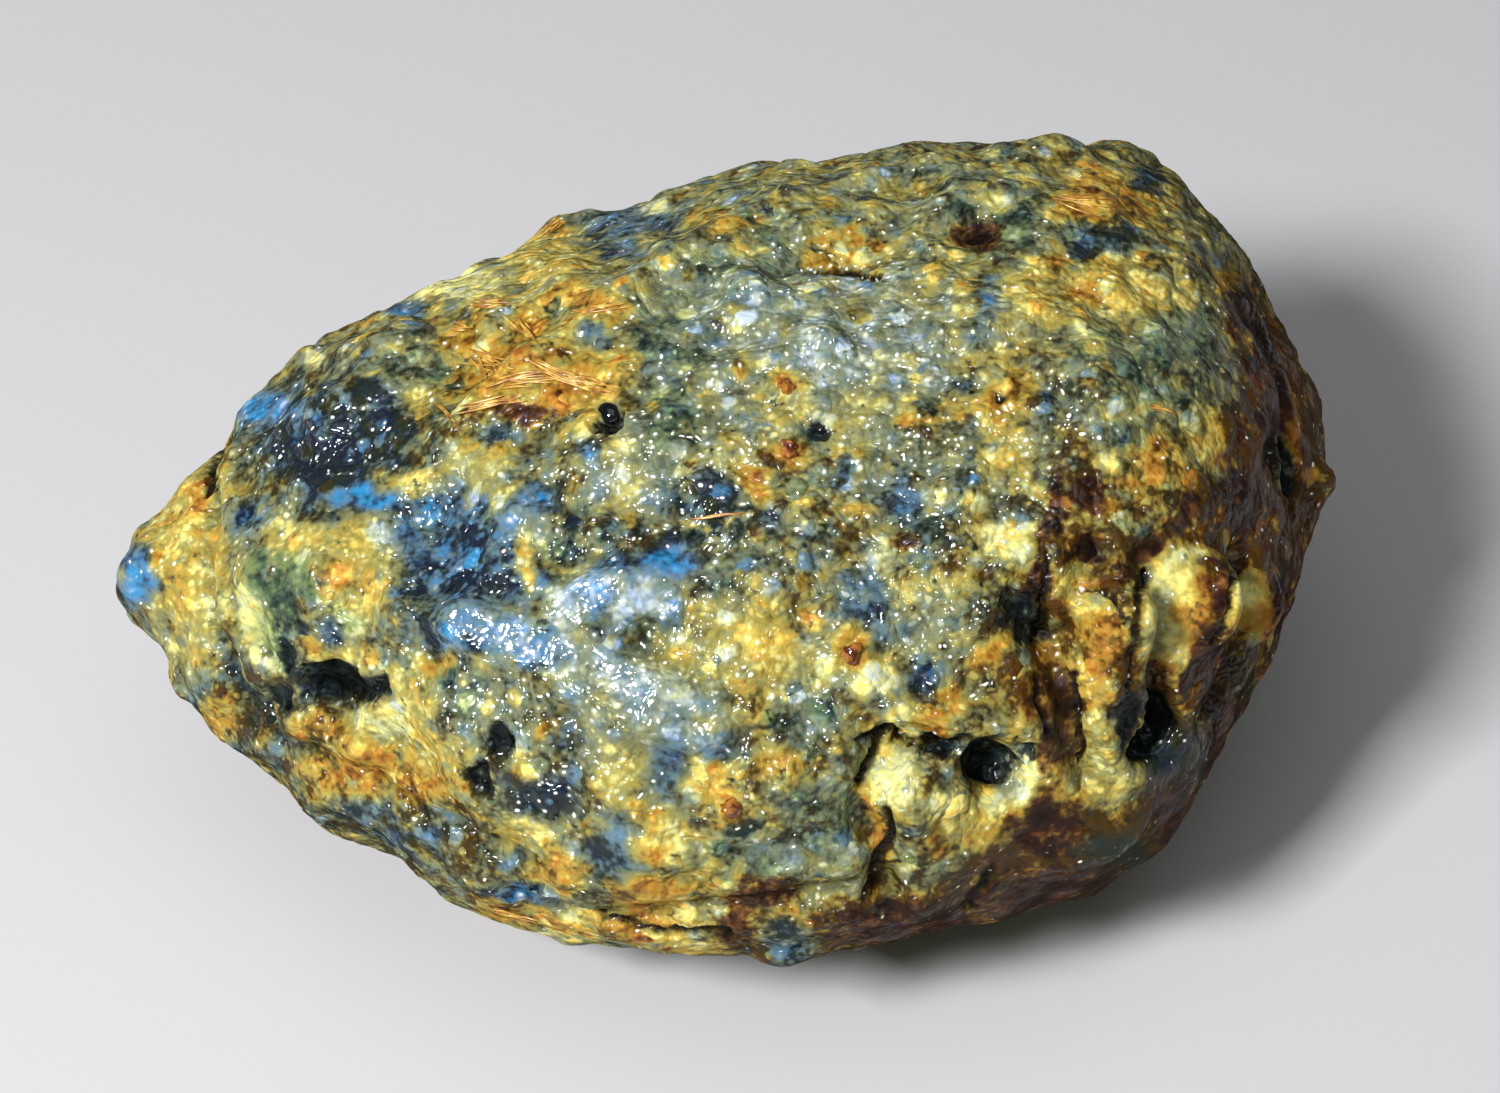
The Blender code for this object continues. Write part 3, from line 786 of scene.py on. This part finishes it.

# %% [markdown]
# The order matters. The lumps come first, then the flashes, which need the slope as it will
# be, then the pebbles, pits and cracks on top. Round each flash the colour is made paler and
# bluer as a painted highlight, beside the real glint of the tipped skin. Hollows see less of the
# lights, so the finished skin is measured once more and each hollow point is stored as a little
# darker.

# %% Skin swelled, tipped, pebbled and pitted
# All in mm: the pebbles' rise, the lumps' width and rise, the pits' and cracks' depth.
PEBBLE_RISE = 0.20
LUMP, LUMP_RISE = 1.5, 0.33
HOLE_DEPTH, CRACK_DEPTH = 0.40, 0.22
FLOOR_FLAT, FLOOR_FREE = 0.3, 1.8
# Painted highlight round the flashes: its warmth, lightness and strength.
FLASH_HIGHLIGHT_WARMTH, FLASH_HIGHLIGHT_LIGHTNESS, FLASH_HIGHLIGHT_STRENGTH = 0.19, 0.90, 0.50
FLASH_SMOOTH = 0.72
HOLLOW_LIGHT, HOLLOW_RANGE = 0.62, 0.45
above_floor = smooth_step(FLOOR_FLAT, FLOOR_FREE, points[:, 2])
weight_group(nugget, "above_floor", above_floor * (1 - 0.6 * smooth_places))
lumps = relief_texture("lumps", "CLOUDS", LUMP, noise_depth=2)
use_modifier(nugget, "DISPLACE", texture=lumps, texture_coords="LOCAL",
             strength=LUMP_RISE * MM, mid_level=0.5, vertex_group="above_floor")
skin, flash = face_the_light(places(nugget), across_plain, down_plain, facing)
put_places(nugget, skin)
flash = averaged(nugget, flash, 2)
smooth_places = coverage["smooth"] = np.maximum(smooth_places, FLASH_SMOOTH * flash)
# Painted highlight: round each flash the colour is pulled paler and bluer.
warmth += FLASH_HIGHLIGHT_STRENGTH * flash * (FLASH_HIGHLIGHT_WARMTH - warmth)
lightness += FLASH_HIGHLIGHT_STRENGTH * flash * (FLASH_HIGHLIGHT_LIGHTNESS - lightness)
outward = normals(nugget)
push = PEBBLE_RISE * (pebble_dome - 0.6) * (0.35 + 0.9 * pebble_height)
push = averaged(nugget, push * (1 - 0.75 * smooth_places), 2)
push -= HOLE_DEPTH * coverage["black"] + CRACK_DEPTH * coverage["crack"]
skin += outward * (push * above_floor)[:, None]
skin[:, 2] = np.maximum(skin[:, 2], 0)
put_places(nugget, skin)
hollow = smooth_step(-0.14, 0.06, surface_height(nugget, 6))
print("hollow averages", round(float(hollow.mean()), 3))
coverage["cavity"] = HOLLOW_LIGHT + HOLLOW_RANGE * hollow
for name, values in coverage.items():
    layer = nugget.data.attributes.new(name, "FLOAT", "POINT")
    layer.data.foreach_set("value", values.astype(np.float32))
nugget.vertex_groups.clear()
triangles = sum(len(face.vertices) - 2 for face in nugget.data.polygons)
print("skin has", triangles, "triangles of", MESH_LIMIT)

# %% [markdown]
# ## The material of weathered amber
# Amber is fossil resin with an IOR of 1.54. Its body is translucent, so light that goes in
# comes out softened and tinted red-brown, and under the crust it glows a little: that is the
# Subsurface part. The weathered crust is a mosaic of soft grains. Two Voronoi textures give
# the pebbles and the grains in them, each with a random colour shift of its own, on spots
# that noise has bent so that no cell is straight-edged.

# %% Noises, pebbles and grains
AMBER_IOR = 1.54
# All in mm: the lumps of the noises, the cells, and how far noise bends the cells.
BROAD_LUMP, MIDDLE_LUMP = 0.90, 0.24
PEBBLE_CELL, GRAIN_CELL = 0.80, 0.28
PEBBLE_BEND = 0.55
EASED = {"interpolation_type": "SMOOTHSTEP"}

# Weathered fossil resin, polished by wear: grainy, many-coloured and wet-looking.
amber, tree = new_material("weathered_blue_amber")
stored = {name: add_node(tree, "Attribute", out="Fac", attribute_name=name) for name in coverage}
spot = add_node(tree, "TexCoord", out="Object")
broad_noise = add_node(tree, "TexNoise", {
    "Vector": spot, "Scale": 1 / (BROAD_LUMP * MM), "Detail": 1.0, "Roughness": 0.55}, out="Color")
middle_noise = add_node(tree, "TexNoise", {
    "Vector": spot, "Scale": 1 / (MIDDLE_LUMP * MM), "Detail": 1.0, "Roughness": 0.5}, out="Color")
# The three channels of a noise's colour serve as three noises.
broad = add_node(tree, "SeparateColor", {"Color": broad_noise}, out=None)
middle = add_node(tree, "SeparateColor", {"Color": middle_noise}, out=None)
bent_spot = add_node(tree, "VectorMath", {0: broad_noise, 1: (PEBBLE_BEND * MM,) * 3, 2: spot},
                     operation="MULTIPLY_ADD")
coarse = add_node(tree, "MapRange", {0: stored["smooth"], 3: 1.0, 4: 0.35}, **EASED)
distance, luck, inside = {}, {}, {}
# Each kind of cell: its width in mm, how much its size varies, and where its rim begins.
for cell, width, spread, rim in (("pebble", PEBBLE_CELL, -0.24, 0.12),
                                 ("grain", GRAIN_CELL, -0.28, 0.10)):
    voronoi = add_node(tree, "TexVoronoi", {
        "Vector": bent_spot, "Scale": 1 / (width * MM), "Randomness": 1.0}, out=None)
    distance[cell] = voronoi["Distance"]
    luck[cell] = add_node(tree, "SeparateColor", {"Color": voronoi["Color"]}, out=None)
    reach = add_node(tree, "Math", {0: luck[cell][2], 1: spread, 2: distance[cell]},
                     operation="MULTIPLY_ADD")
    share = add_node(tree, "MapRange", {0: reach, 1: rim, 2: 0.38, 3: 1.0, 4: 0.0}, **EASED)
    inside[cell] = add_node(tree, "Math", {0: coarse, 1: share}, operation="MULTIPLY")
print("cells in mm:", PEBBLE_CELL, GRAIN_CELL)

# %% [markdown]
# The stored warmth and lightness change slowly over the skin. Each noise and each cell now
# shifts them a little, which makes neighbours differ as real grains do. Named marks are calmer
# than the ground between them, so that a blue window stays blue.

# %% Warmth and lightness of each grain
LIGHT_SHIFT = -0.11
calm = add_node(tree, "MapRange", {0: stored["calm"], 3: 1.0, 4: 0.45}, **EASED)
# What is shifted, by which noise, the noise's middle, how far, and where it counts.
SHIFTS = (
    ("warmth", broad[0], 0.50, 0.80, calm), ("warmth", middle[0], 0.50, 0.24, 1.0),
    ("warmth", luck["pebble"][0], 0.50, 0.42, inside["pebble"]),
    ("warmth", luck["grain"][0], 0.50, 0.22, inside["grain"]),
    ("lightness", broad[1], 0.50, 0.80, 1.0), ("lightness", middle[1], 0.50, 0.60, 1.0),
    ("lightness", luck["pebble"][1], 0.35, 0.55, inside["pebble"]),
    ("lightness", luck["grain"][1], 0.30, 0.38, inside["grain"]),
)
shifted = {"warmth": stored["warmth"], "lightness": stored["lightness"]}
for name, source, centre, amount, where in SHIFTS:
    swing = add_node(tree, "Math", {0: source, 1: centre}, operation="SUBTRACT")
    swing = add_node(tree, "Math", {0: swing, 1: where}, operation="MULTIPLY")
    shifted[name] = add_node(tree, "Math", {0: swing, 1: amount, 2: shifted[name]},
                             operation="MULTIPLY_ADD")
warm = shifted["warmth"]
light = add_node(tree, "Math", {0: shifted["lightness"], 1: LIGHT_SHIFT})
print("shifts of colour:", len(SHIFTS))

# %% [markdown]
# Warmth picks a colour on a ramp, and there are three ramps: for dark, middle and light
# grains. Lightness then blends from one ramp to the next, so dark grains can be brown and
# light ones cream at the same warmth, as they are on the real stone.

# %% Colours by warmth and lightness
WARMTH_STOPS = (0.0, 0.13, 0.27, 0.40, 0.50, 0.61, 0.73, 0.86, 1.0)
DARK = ("#0c2436", "#181e2e", "#1c2626", "#242816", "#322812", "#3e2e0e", "#46300c", "#482a08",
        "#2e1004")
MIDDLE = ("#2c7ca8", "#4c708a", "#5e7270", "#6e765a", "#7c7c50", "#948a44", "#a88a34", "#a26c22",
          "#723a10")
LIGHT = ("#7cb6de", "#a6b6d2", "#b0bcbc", "#b6bca2", "#c6c88e", "#dcd47c", "#eccd60", "#e6ac48",
         "#c87c34")
dark_shade, middle_shade, light_shade = (
    add_node(tree, "ValToRGB", {"Fac": warm}, stops=tuple(zip(WARMTH_STOPS, shades)))
    for shades in (DARK, MIDDLE, LIGHT))
colour = dark_shade
for start, end, shade in ((0.12, 0.50, middle_shade), (0.50, 0.95, light_shade)):
    share = add_node(tree, "MapRange", {0: light, 1: start, 2: end}, **EASED)
    colour = add_node(tree, "Mix", {0: share, 6: colour, 7: shade}, out=2, data_type="RGBA")
print("colours on the ramps:", 3 * len(WARMTH_STOPS))

# %% [markdown]
# Four things lie over that ground: windows of green resin, runs of red-brown resin, dark pits
# and cracks. Each is stored on the skin as a soft patch. Noise and the pebbles break up its
# edge before it is cut off, so that it ends in grains and not in a clean line. Last come the
# sparks, near-white dots on single grains that are painted highlight: glints painted into the
# colour.

# %% Windows, resin runs, pits, cracks and sparks
GREENS = ((0.05, "#0c1812"), (0.30, "#2a4034"), (0.58, "#627a4a"), (0.95, "#b2bc74"))
RESIN = ((0.10, "#100503"), (0.35, "#30140a"), (0.60, "#5c3218"), (0.90, "#8e5e34"))
HOLE = ((0.30, "#020303"), (0.45, "#070c0d"), (0.58, "#101b1d"), (0.75, "#26322e"))
# A crack is the same near-black brown at any depth.
CRACK = ((0.0, "#120d08"), (1.0, "#120d08"))
half_broad = add_node(tree, "Math", {0: broad[0], 1: 0.5, 2: -0.15}, operation="MULTIPLY_ADD")
resin_depth = add_node(tree, "Math", {0: light, 1: half_broad})
some_luck = add_node(tree, "Math", {0: luck["grain"][1], 1: 0.3, 2: -0.15},
                     operation="MULTIPLY_ADD")
hole_depth = add_node(tree, "Math", {0: broad[1], 1: some_luck})
ragged = add_node(tree, "Math", {0: middle[2], 1: broad[2]})
ragged = add_node(tree, "Math", {0: ragged, 1: 1.0}, operation="SUBTRACT")
pebble_luck = add_node(tree, "Math", {0: luck["pebble"][2], 1: 0.5}, operation="SUBTRACT")
# Each layer: where it is stored, how far the noise and the pebbles break its edge, where it
# starts and is full, how much it covers, what picks its shade, and its shades.
LAYERS = (
    ("green", 1.0, 0.75, 0.25, 0.95, 0.80, light, GREENS),
    ("red", 1.4, 0.0, 0.35, 1.00, 0.90, resin_depth, RESIN),
    ("black", 1.1, 0.5, 0.34, 0.74, 0.88, hole_depth, HOLE),
    ("crack", 1.4, 0.0, 0.30, 1.10, 0.85, light, CRACK),
)
cover = {}
for name, by_noise, by_pebble, start, full, most, depth, shades in LAYERS:
    edge = stored[name]
    for source, amount in ((ragged, by_noise), (pebble_luck, by_pebble)):
        edge = add_node(tree, "Math", {0: source, 1: amount, 2: edge}, operation="MULTIPLY_ADD")
    cover[name] = add_node(tree, "MapRange", {0: edge, 1: start, 2: full, 4: most}, **EASED)
    shade = add_node(tree, "ValToRGB", {"Fac": depth}, stops=shades)
    colour = add_node(tree, "Mix", {0: cover[name], 6: colour, 7: shade}, out=2,
                      data_type="RGBA")
# Sparks: near-white dots of painted glint in the middles of chosen grains, kept off pits and resin
# runs.
chosen = add_node(tree, "Math", {0: stored["sparkle"], 1: 0.42, 2: luck["grain"][2]},
                  operation="MULTIPLY_ADD")
chosen = add_node(tree, "MapRange", {0: chosen, 1: 0.88, 2: 0.92}, **EASED)
dot = add_node(tree, "MapRange", {0: distance["grain"], 1: 0.14, 2: 0.28, 3: 1.0, 4: 0.0},
               **EASED)
taken = add_node(tree, "Math", {0: cover["black"], 1: cover["red"]}, operation="MAXIMUM")
bare = add_node(tree, "Math", {0: 1.0, 1: taken}, operation="SUBTRACT")
spark = add_node(tree, "Math", {0: dot, 1: chosen}, operation="MULTIPLY")
spark = add_node(tree, "Math", {0: spark, 1: bare}, operation="MULTIPLY")
colour = add_node(tree, "Mix", {0: spark, 6: colour, 7: linear("#f6f2e2")}, out=2,
                  data_type="RGBA")
colour = add_node(tree, "VectorMath", {0: colour, "Scale": stored["cavity"]}, operation="SCALE")
print("layers over the ground:", len(LAYERS))

# %% [markdown]
# Bare resin is glossy and the yellow crust is duller, so roughness and the wet coat both
# follow warmth. Pits stay dull, the coat is thinner on the shaded underside, and it fades
# where the skin is seen edge-on, where it would only mirror the pale floor as a grey veil.
# The relief of every pebble and grain, too fine for the mesh, goes into one Bump node.

# %% Gloss and relief
# All in mm: how high the pebbles, the grains and the crust between them stand.
PEBBLE_DOME, GRAIN_DOME, CRUST_BUMP = 0.24, 0.07, 0.020
graze = add_node(tree, "LayerWeight", {"Blend": 0.5}, out="Facing")
rough = add_node(tree, "MapRange", {0: warm, 1: 0.38, 2: 0.68, 3: 0.18, 4: 0.40}, **EASED)
dull_pit = add_node(tree, "Math", {0: cover["black"], 1: 0.45}, operation="MULTIPLY")
dull_edge = add_node(tree, "MapRange", {0: graze, 1: 0.50, 2: 0.85, 4: 0.90}, **EASED)
for dull in (dull_pit, dull_edge):
    rough = add_node(tree, "Math", {0: rough, 1: dull}, operation="MAXIMUM")
coat = add_node(tree, "MapRange", {0: warm, 1: 0.38, 2: 0.68, 3: 0.90, 4: 0.46}, **EASED)
out_of_pit = add_node(tree, "Math", {0: cover["black"], 1: -0.7, 2: 1.0},
                      operation="MULTIPLY_ADD")
lit = add_node(tree, "MapRange", {0: stored["shade"], 3: 1.0, 4: 0.25}, **EASED)
face_on = add_node(tree, "MapRange", {0: graze, 1: 0.45, 2: 0.75, 3: 1.0, 4: 0.0}, **EASED)
glinting = add_node(tree, "MapRange", {0: stored["sparkle"], 2: 0.8, 3: 0.60}, **EASED)
for share in (out_of_pit, lit, face_on, glinting):
    coat = add_node(tree, "Math", {0: coat, 1: share}, operation="MULTIPLY")
clear = add_node(tree, "MapRange", {0: stored["shade"], 3: 0.30, 4: 0.02}, **EASED)
clear = add_node(tree, "Math", {0: cover["red"], 1: clear}, operation="MULTIPLY")

relief = add_node(tree, "Math", {0: middle[0], 1: CRUST_BUMP}, operation="MULTIPLY")
for cell, dome in (("pebble", PEBBLE_DOME), ("grain", GRAIN_DOME)):
    hump = add_node(tree, "Math", {0: distance[cell], 1: distance[cell]}, operation="MULTIPLY")
    relief = add_node(tree, "Math", {0: hump, 1: -dome, 2: relief}, operation="MULTIPLY_ADD")
strength = add_node(tree, "MapRange", {0: stored["smooth"], 3: 1.0, 4: 0.30}, **EASED)
skin_bump = add_node(tree, "Bump", {"Strength": strength, "Distance": MM, "Height": relief})
amber_shader = add_node(tree, "BsdfPrincipled", {
    "Base Color": colour, "Roughness": rough, "IOR": AMBER_IOR,
    "Transmission Weight": clear, "Subsurface Weight": 0.35,
    "Subsurface Radius": (0.8, 0.7, 0.35), "Subsurface Scale": 0.6 * MM,
    "Specular IOR Level": 0.06, "Coat Weight": coat, "Coat Roughness": 0.07, "Coat IOR": 1.45,
    "Normal": skin_bump, "Coat Normal": skin_bump})
depth_tint = add_node(tree, "VolumeAbsorption", {"Color": linear("#c07a38"), "Density": 1500.0})
add_node(tree, "OutputMaterial", {"Surface": amber_shader, "Volume": depth_tint}, out=None)
nugget.data.materials.clear()
nugget.data.materials.append(amber)
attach(nugget, "root")
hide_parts("amber_nugget")
print("nodes in the amber:", len(tree.nodes))

# %% [markdown]
# ## Fibres and glass beads
# On the shoulder a tuft of rust and gold splinters is stuck to the resin, and here and there
# a drop of clear or black resin stands out like a bead. They are real little bodies, so they
# are modelled. Each one is dropped onto the skin from the camera: a ray through its pixel
# finds the place that carries it.

# %% Places on the skin
skin_tree = BVHTree.FromPolygons(
    places(nugget).tolist(), [tuple(face.vertices) for face in nugget.data.polygons])


def on_skin(x, y):
    """The place on the skin, in mm, behind a photograph pixel, and the way out of the skin."""
    way = (CAMERA_RIGHT * (x - PHOTO_WIDTH / 2) / FOCAL_PIXELS
           - CAMERA_UP * (y - PHOTO_HEIGHT / 2) / FOCAL_PIXELS - CAMERA_BACK)
    place, out, _, _ = skin_tree.ray_cast(Vector(EYE), Vector(way).normalized())
    return (None, None) if place is None else (np.array(place), np.array(out))


print("middle of the picture, on the skin in mm:", on_skin(PHOTO_WIDTH / 2, PHOTO_HEIGHT / 2)[0])

# %% [markdown]
# A fibre is stiff, so it doesn't follow every grain: its line on the skin is smoothed, lifted
# a little, and given a thin body that tapers to both ends. They are built point by point,
# because each has its own line.

# %% Tuft of fibres
FIBRE_SIDES, FIBRE_STEPS = 5, 10
# Half the thickness of a fibre in mm, from and to, and how far it bows in pixels.
THINNEST, THICKEST, FIBRE_BOW = 0.030, 0.062, 2.0
# A sheaf is its two ends in pixels, how many fibres it has, and how far they spread.
SHEAVES = {
    "main": ((530, 366), (616, 396), 16, 9), "low": ((455, 411), (526, 396), 12, 6),
    "heart": ((466, 352), (516, 372), 10, 12), "upper": ((514, 316), (538, 344), 7, 8),
    "streak": ((566, 313), (632, 302), 7, 6), "left": ((462, 303), (512, 306), 6, 5),
    "short": ((448, 325), (474, 328), 4, 4), "fall": ((436, 400), (454, 424), 5, 4),
    "cross": ((470, 358), (494, 384), 5, 5), "end": ((582, 388), (616, 396), 6, 4),
    "over": ((480, 384), (560, 378), 9, 8), "far": ((540, 236), (566, 216), 5, 6),
    "gold_bow": ((1142, 406), (1178, 414), 4, 3), "curl": ((684, 520), (748, 513), 3, 4),
    "top_run": ((1050, 200), (1118, 214), 6, 8), "low_lip": ((484, 904), (548, 922), 5, 5),
}
print("fibres in the sheaves:", sum(sheaf[2] for sheaf in SHEAVES.values()))

# %% Fibres built along the skin
fibre_chance = np.random.default_rng(23)
fibre_points, fibre_faces = [], []
for (x0, y0), (x1, y1), count, spread in SHEAVES.values():
    for _ in range(count):
        first = np.array((x0, y0)) + fibre_chance.normal(0, spread * 0.6, 2)
        last = np.array((x1, y1)) + fibre_chance.normal(0, spread * 0.6, 2)
        first, last = (first + (last - first) * fibre_chance.uniform(0, 0.4),
                       last - (last - first) * fibre_chance.uniform(0, 0.4))
        bow = fibre_chance.normal(0, FIBRE_BOW)
        thick = fibre_chance.uniform(THINNEST, THICKEST)
        line, outs = [], []
        for step in range(FIBRE_STEPS):
            part = step / (FIBRE_STEPS - 1)
            x, y = first + (last - first) * part
            place, out = on_skin(x, y + bow * math.sin(part * math.pi))
            if place is not None:
                line.append(place)
                outs.append(out)
        if len(line) < FIBRE_STEPS or np.abs(np.diff(line, axis=0)).max() > 1.0:
            continue
        line = np.array(line)
        out = np.mean(outs, axis=0)
        out /= np.linalg.norm(out)
        for _ in range(4):
            line[1:-1] = (line[:-2] + line[1:-1] + line[2:]) / 3
        line += out * thick * 1.1
        along = line[-1] - line[0]
        side = np.cross(out, along / np.linalg.norm(along))
        start = len(fibre_points)
        for step, middle in enumerate(line):
            part = step / (FIBRE_STEPS - 1)
            radius = thick * (0.15 + 0.85 * math.sin(math.pi * (0.08 + 0.84 * part)))
            for corner in range(FIBRE_SIDES):
                turn = 2 * math.pi * corner / FIBRE_SIDES
                fibre_points.append(middle + radius * (
                    math.cos(turn) * side + 0.8 * math.sin(turn) * out))
        for step in range(FIBRE_STEPS - 1):
            for corner in range(FIBRE_SIDES):
                a, b = start + step * FIBRE_SIDES + corner, start + step * FIBRE_SIDES
                b += (corner + 1) % FIBRE_SIDES
                fibre_faces.append((a, b, b + FIBRE_SIDES, a + FIBRE_SIDES))
        fibre_faces.append([start + corner for corner in reversed(range(FIBRE_SIDES))])
        last_ring = start + (FIBRE_STEPS - 1) * FIBRE_SIDES
        fibre_faces.append([last_ring + corner for corner in range(FIBRE_SIDES)])
fibre_mesh = bpy.data.meshes.new("amber_fibres")
fibre_mesh.from_pydata([tuple(point * MM) for point in fibre_points], [], fibre_faces)
fibres = bpy.data.objects.new("amber_fibres", fibre_mesh)
bpy.context.collection.objects.link(fibres)
turn_out(fibres)
bpy.ops.object.shade_smooth()
print("fibre faces:", len(fibre_faces))

# %% Fibre material
# Splinters of resin-soaked plant fibre: waxy, a little see-through, in patches of rust and gold.
fibre_skin, tree = new_material("rust_and_gold_fibre")
spot = add_node(tree, "TexCoord", out="Object")
fibre_noise = add_node(tree, "TexNoise", {
    "Vector": spot, "Scale": 1 / (0.40 * MM), "Detail": 2.0}, out="Fac")
fibre_shade = add_node(tree, "ValToRGB", {"Fac": fibre_noise}, stops=(
    (0.30, "#7a4a1c"), (0.46, "#ac7a2c"), (0.58, "#c8983a"), (0.74, "#dcbc6a")))
fibre_shader = add_node(tree, "BsdfPrincipled", {
    "Base Color": fibre_shade, "Roughness": 0.35, "IOR": AMBER_IOR, "Coat Weight": 0.3,
    "Coat Roughness": 0.1, "Subsurface Weight": 0.3, "Subsurface Scale": 0.1 * MM})
add_node(tree, "OutputMaterial", {"Surface": fibre_shader}, out=None)
fibres.data.materials.append(fibre_skin)
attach(fibres, "root")
print("nodes in the fibre:", len(tree.nodes))

# %% [markdown]
# The drops are spheres, sunk a little past the waist. Clear ones are see-through by plain
# transmission, with a tint by absorption; rust ones are dented by a clouds texture, because
# hardened resin shrinks unevenly; black ones are domes of dense resin.

# %% Beads
# As parts of the radius: how deep a drop sits, how wide its dents are, and how deep.
BEAD_SINK, DENT_WIDTH, DENT_DEPTH = 0.30, 0.9, 1.3
BEAD_SHAPE = (1.2, 1.0, 0.85)
# Each kind: surface colour, its darker clouds, tint inside, transmission, and its drops as
# pixel and radius in mm.
BEADS = {
    "pale_glass_beads": ("#ccd8a8", "#8c9c50", "#a8c070", 0.75, (
        (795, 491, 0.42), (920, 560, 0.26), (908, 858, 0.27), (541, 765, 0.32))),
    "rust_resin_drops": ("#b8752c", "#5c260e", "#a86420", 0.35, (
        (789, 447, 0.44), (787, 385, 0.34), (852, 652, 0.40), (733, 806, 0.42))),
    "black_resin_domes": ("#0b0f12", "#050708", "#0b0f12", 0.0, (
        (609, 414, 0.38), (820, 429, 0.20), (791, 490, 0.12))),
}
for name, (shade, edge, tint, through, drops) in BEADS.items():
    bpy.ops.object.select_all(action="DESELECT")
    made = []
    for x, y, radius in drops:
        place, out = on_skin(x, y)
        if place is None:
            continue
        sunk = Vector(place - out * radius * BEAD_SINK) * MM
        bpy.ops.mesh.primitive_ico_sphere_add(subdivisions=4, radius=radius * MM, location=sunk)
        bead = bpy.context.object
        if name == "rust_resin_drops":
            dents = relief_texture("dents", "CLOUDS", radius * DENT_WIDTH)
            use_modifier(bead, "DISPLACE", texture=dents, texture_coords="GLOBAL",
                         strength=radius * DENT_DEPTH * MM, mid_level=0.62)
        bead.scale = BEAD_SHAPE
        bead.rotation_euler = (0.6, 0.0, x * 0.37)
        made.append(bead)
    for bead in made:
        bead.select_set(True)
    bpy.context.view_layer.objects.active = made[0]
    bpy.ops.object.join()
    bpy.ops.object.transform_apply(location=True, rotation=True, scale=True)
    bpy.ops.object.shade_smooth()
    beads = bpy.context.object
    beads.name = beads.data.name = name
    # Drops of clean resin, smooth as glass: a sharp glint, cloudy inside.
    glass, tree = new_material(name + "_glass")
    spot = add_node(tree, "TexCoord", out="Object")
    clouds = add_node(tree, "TexNoise", {
        "Vector": spot, "Scale": 1 / (0.30 * MM), "Detail": 1.0}, out="Fac")
    cloudy = add_node(tree, "ValToRGB", {"Fac": clouds}, stops=((0.35, edge), (0.60, shade)))
    ends = {"Surface": add_node(tree, "BsdfPrincipled", {
        "Base Color": cloudy, "Roughness": 0.06, "IOR": AMBER_IOR,
        "Transmission Weight": through})}
    if through:
        ends["Volume"] = add_node(tree, "VolumeAbsorption", {
            "Color": linear(tint), "Density": 900.0})
    add_node(tree, "OutputMaterial", ends, out=None)
    beads.data.materials.append(glass)
    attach(beads, "root")
    print(name, len(made))
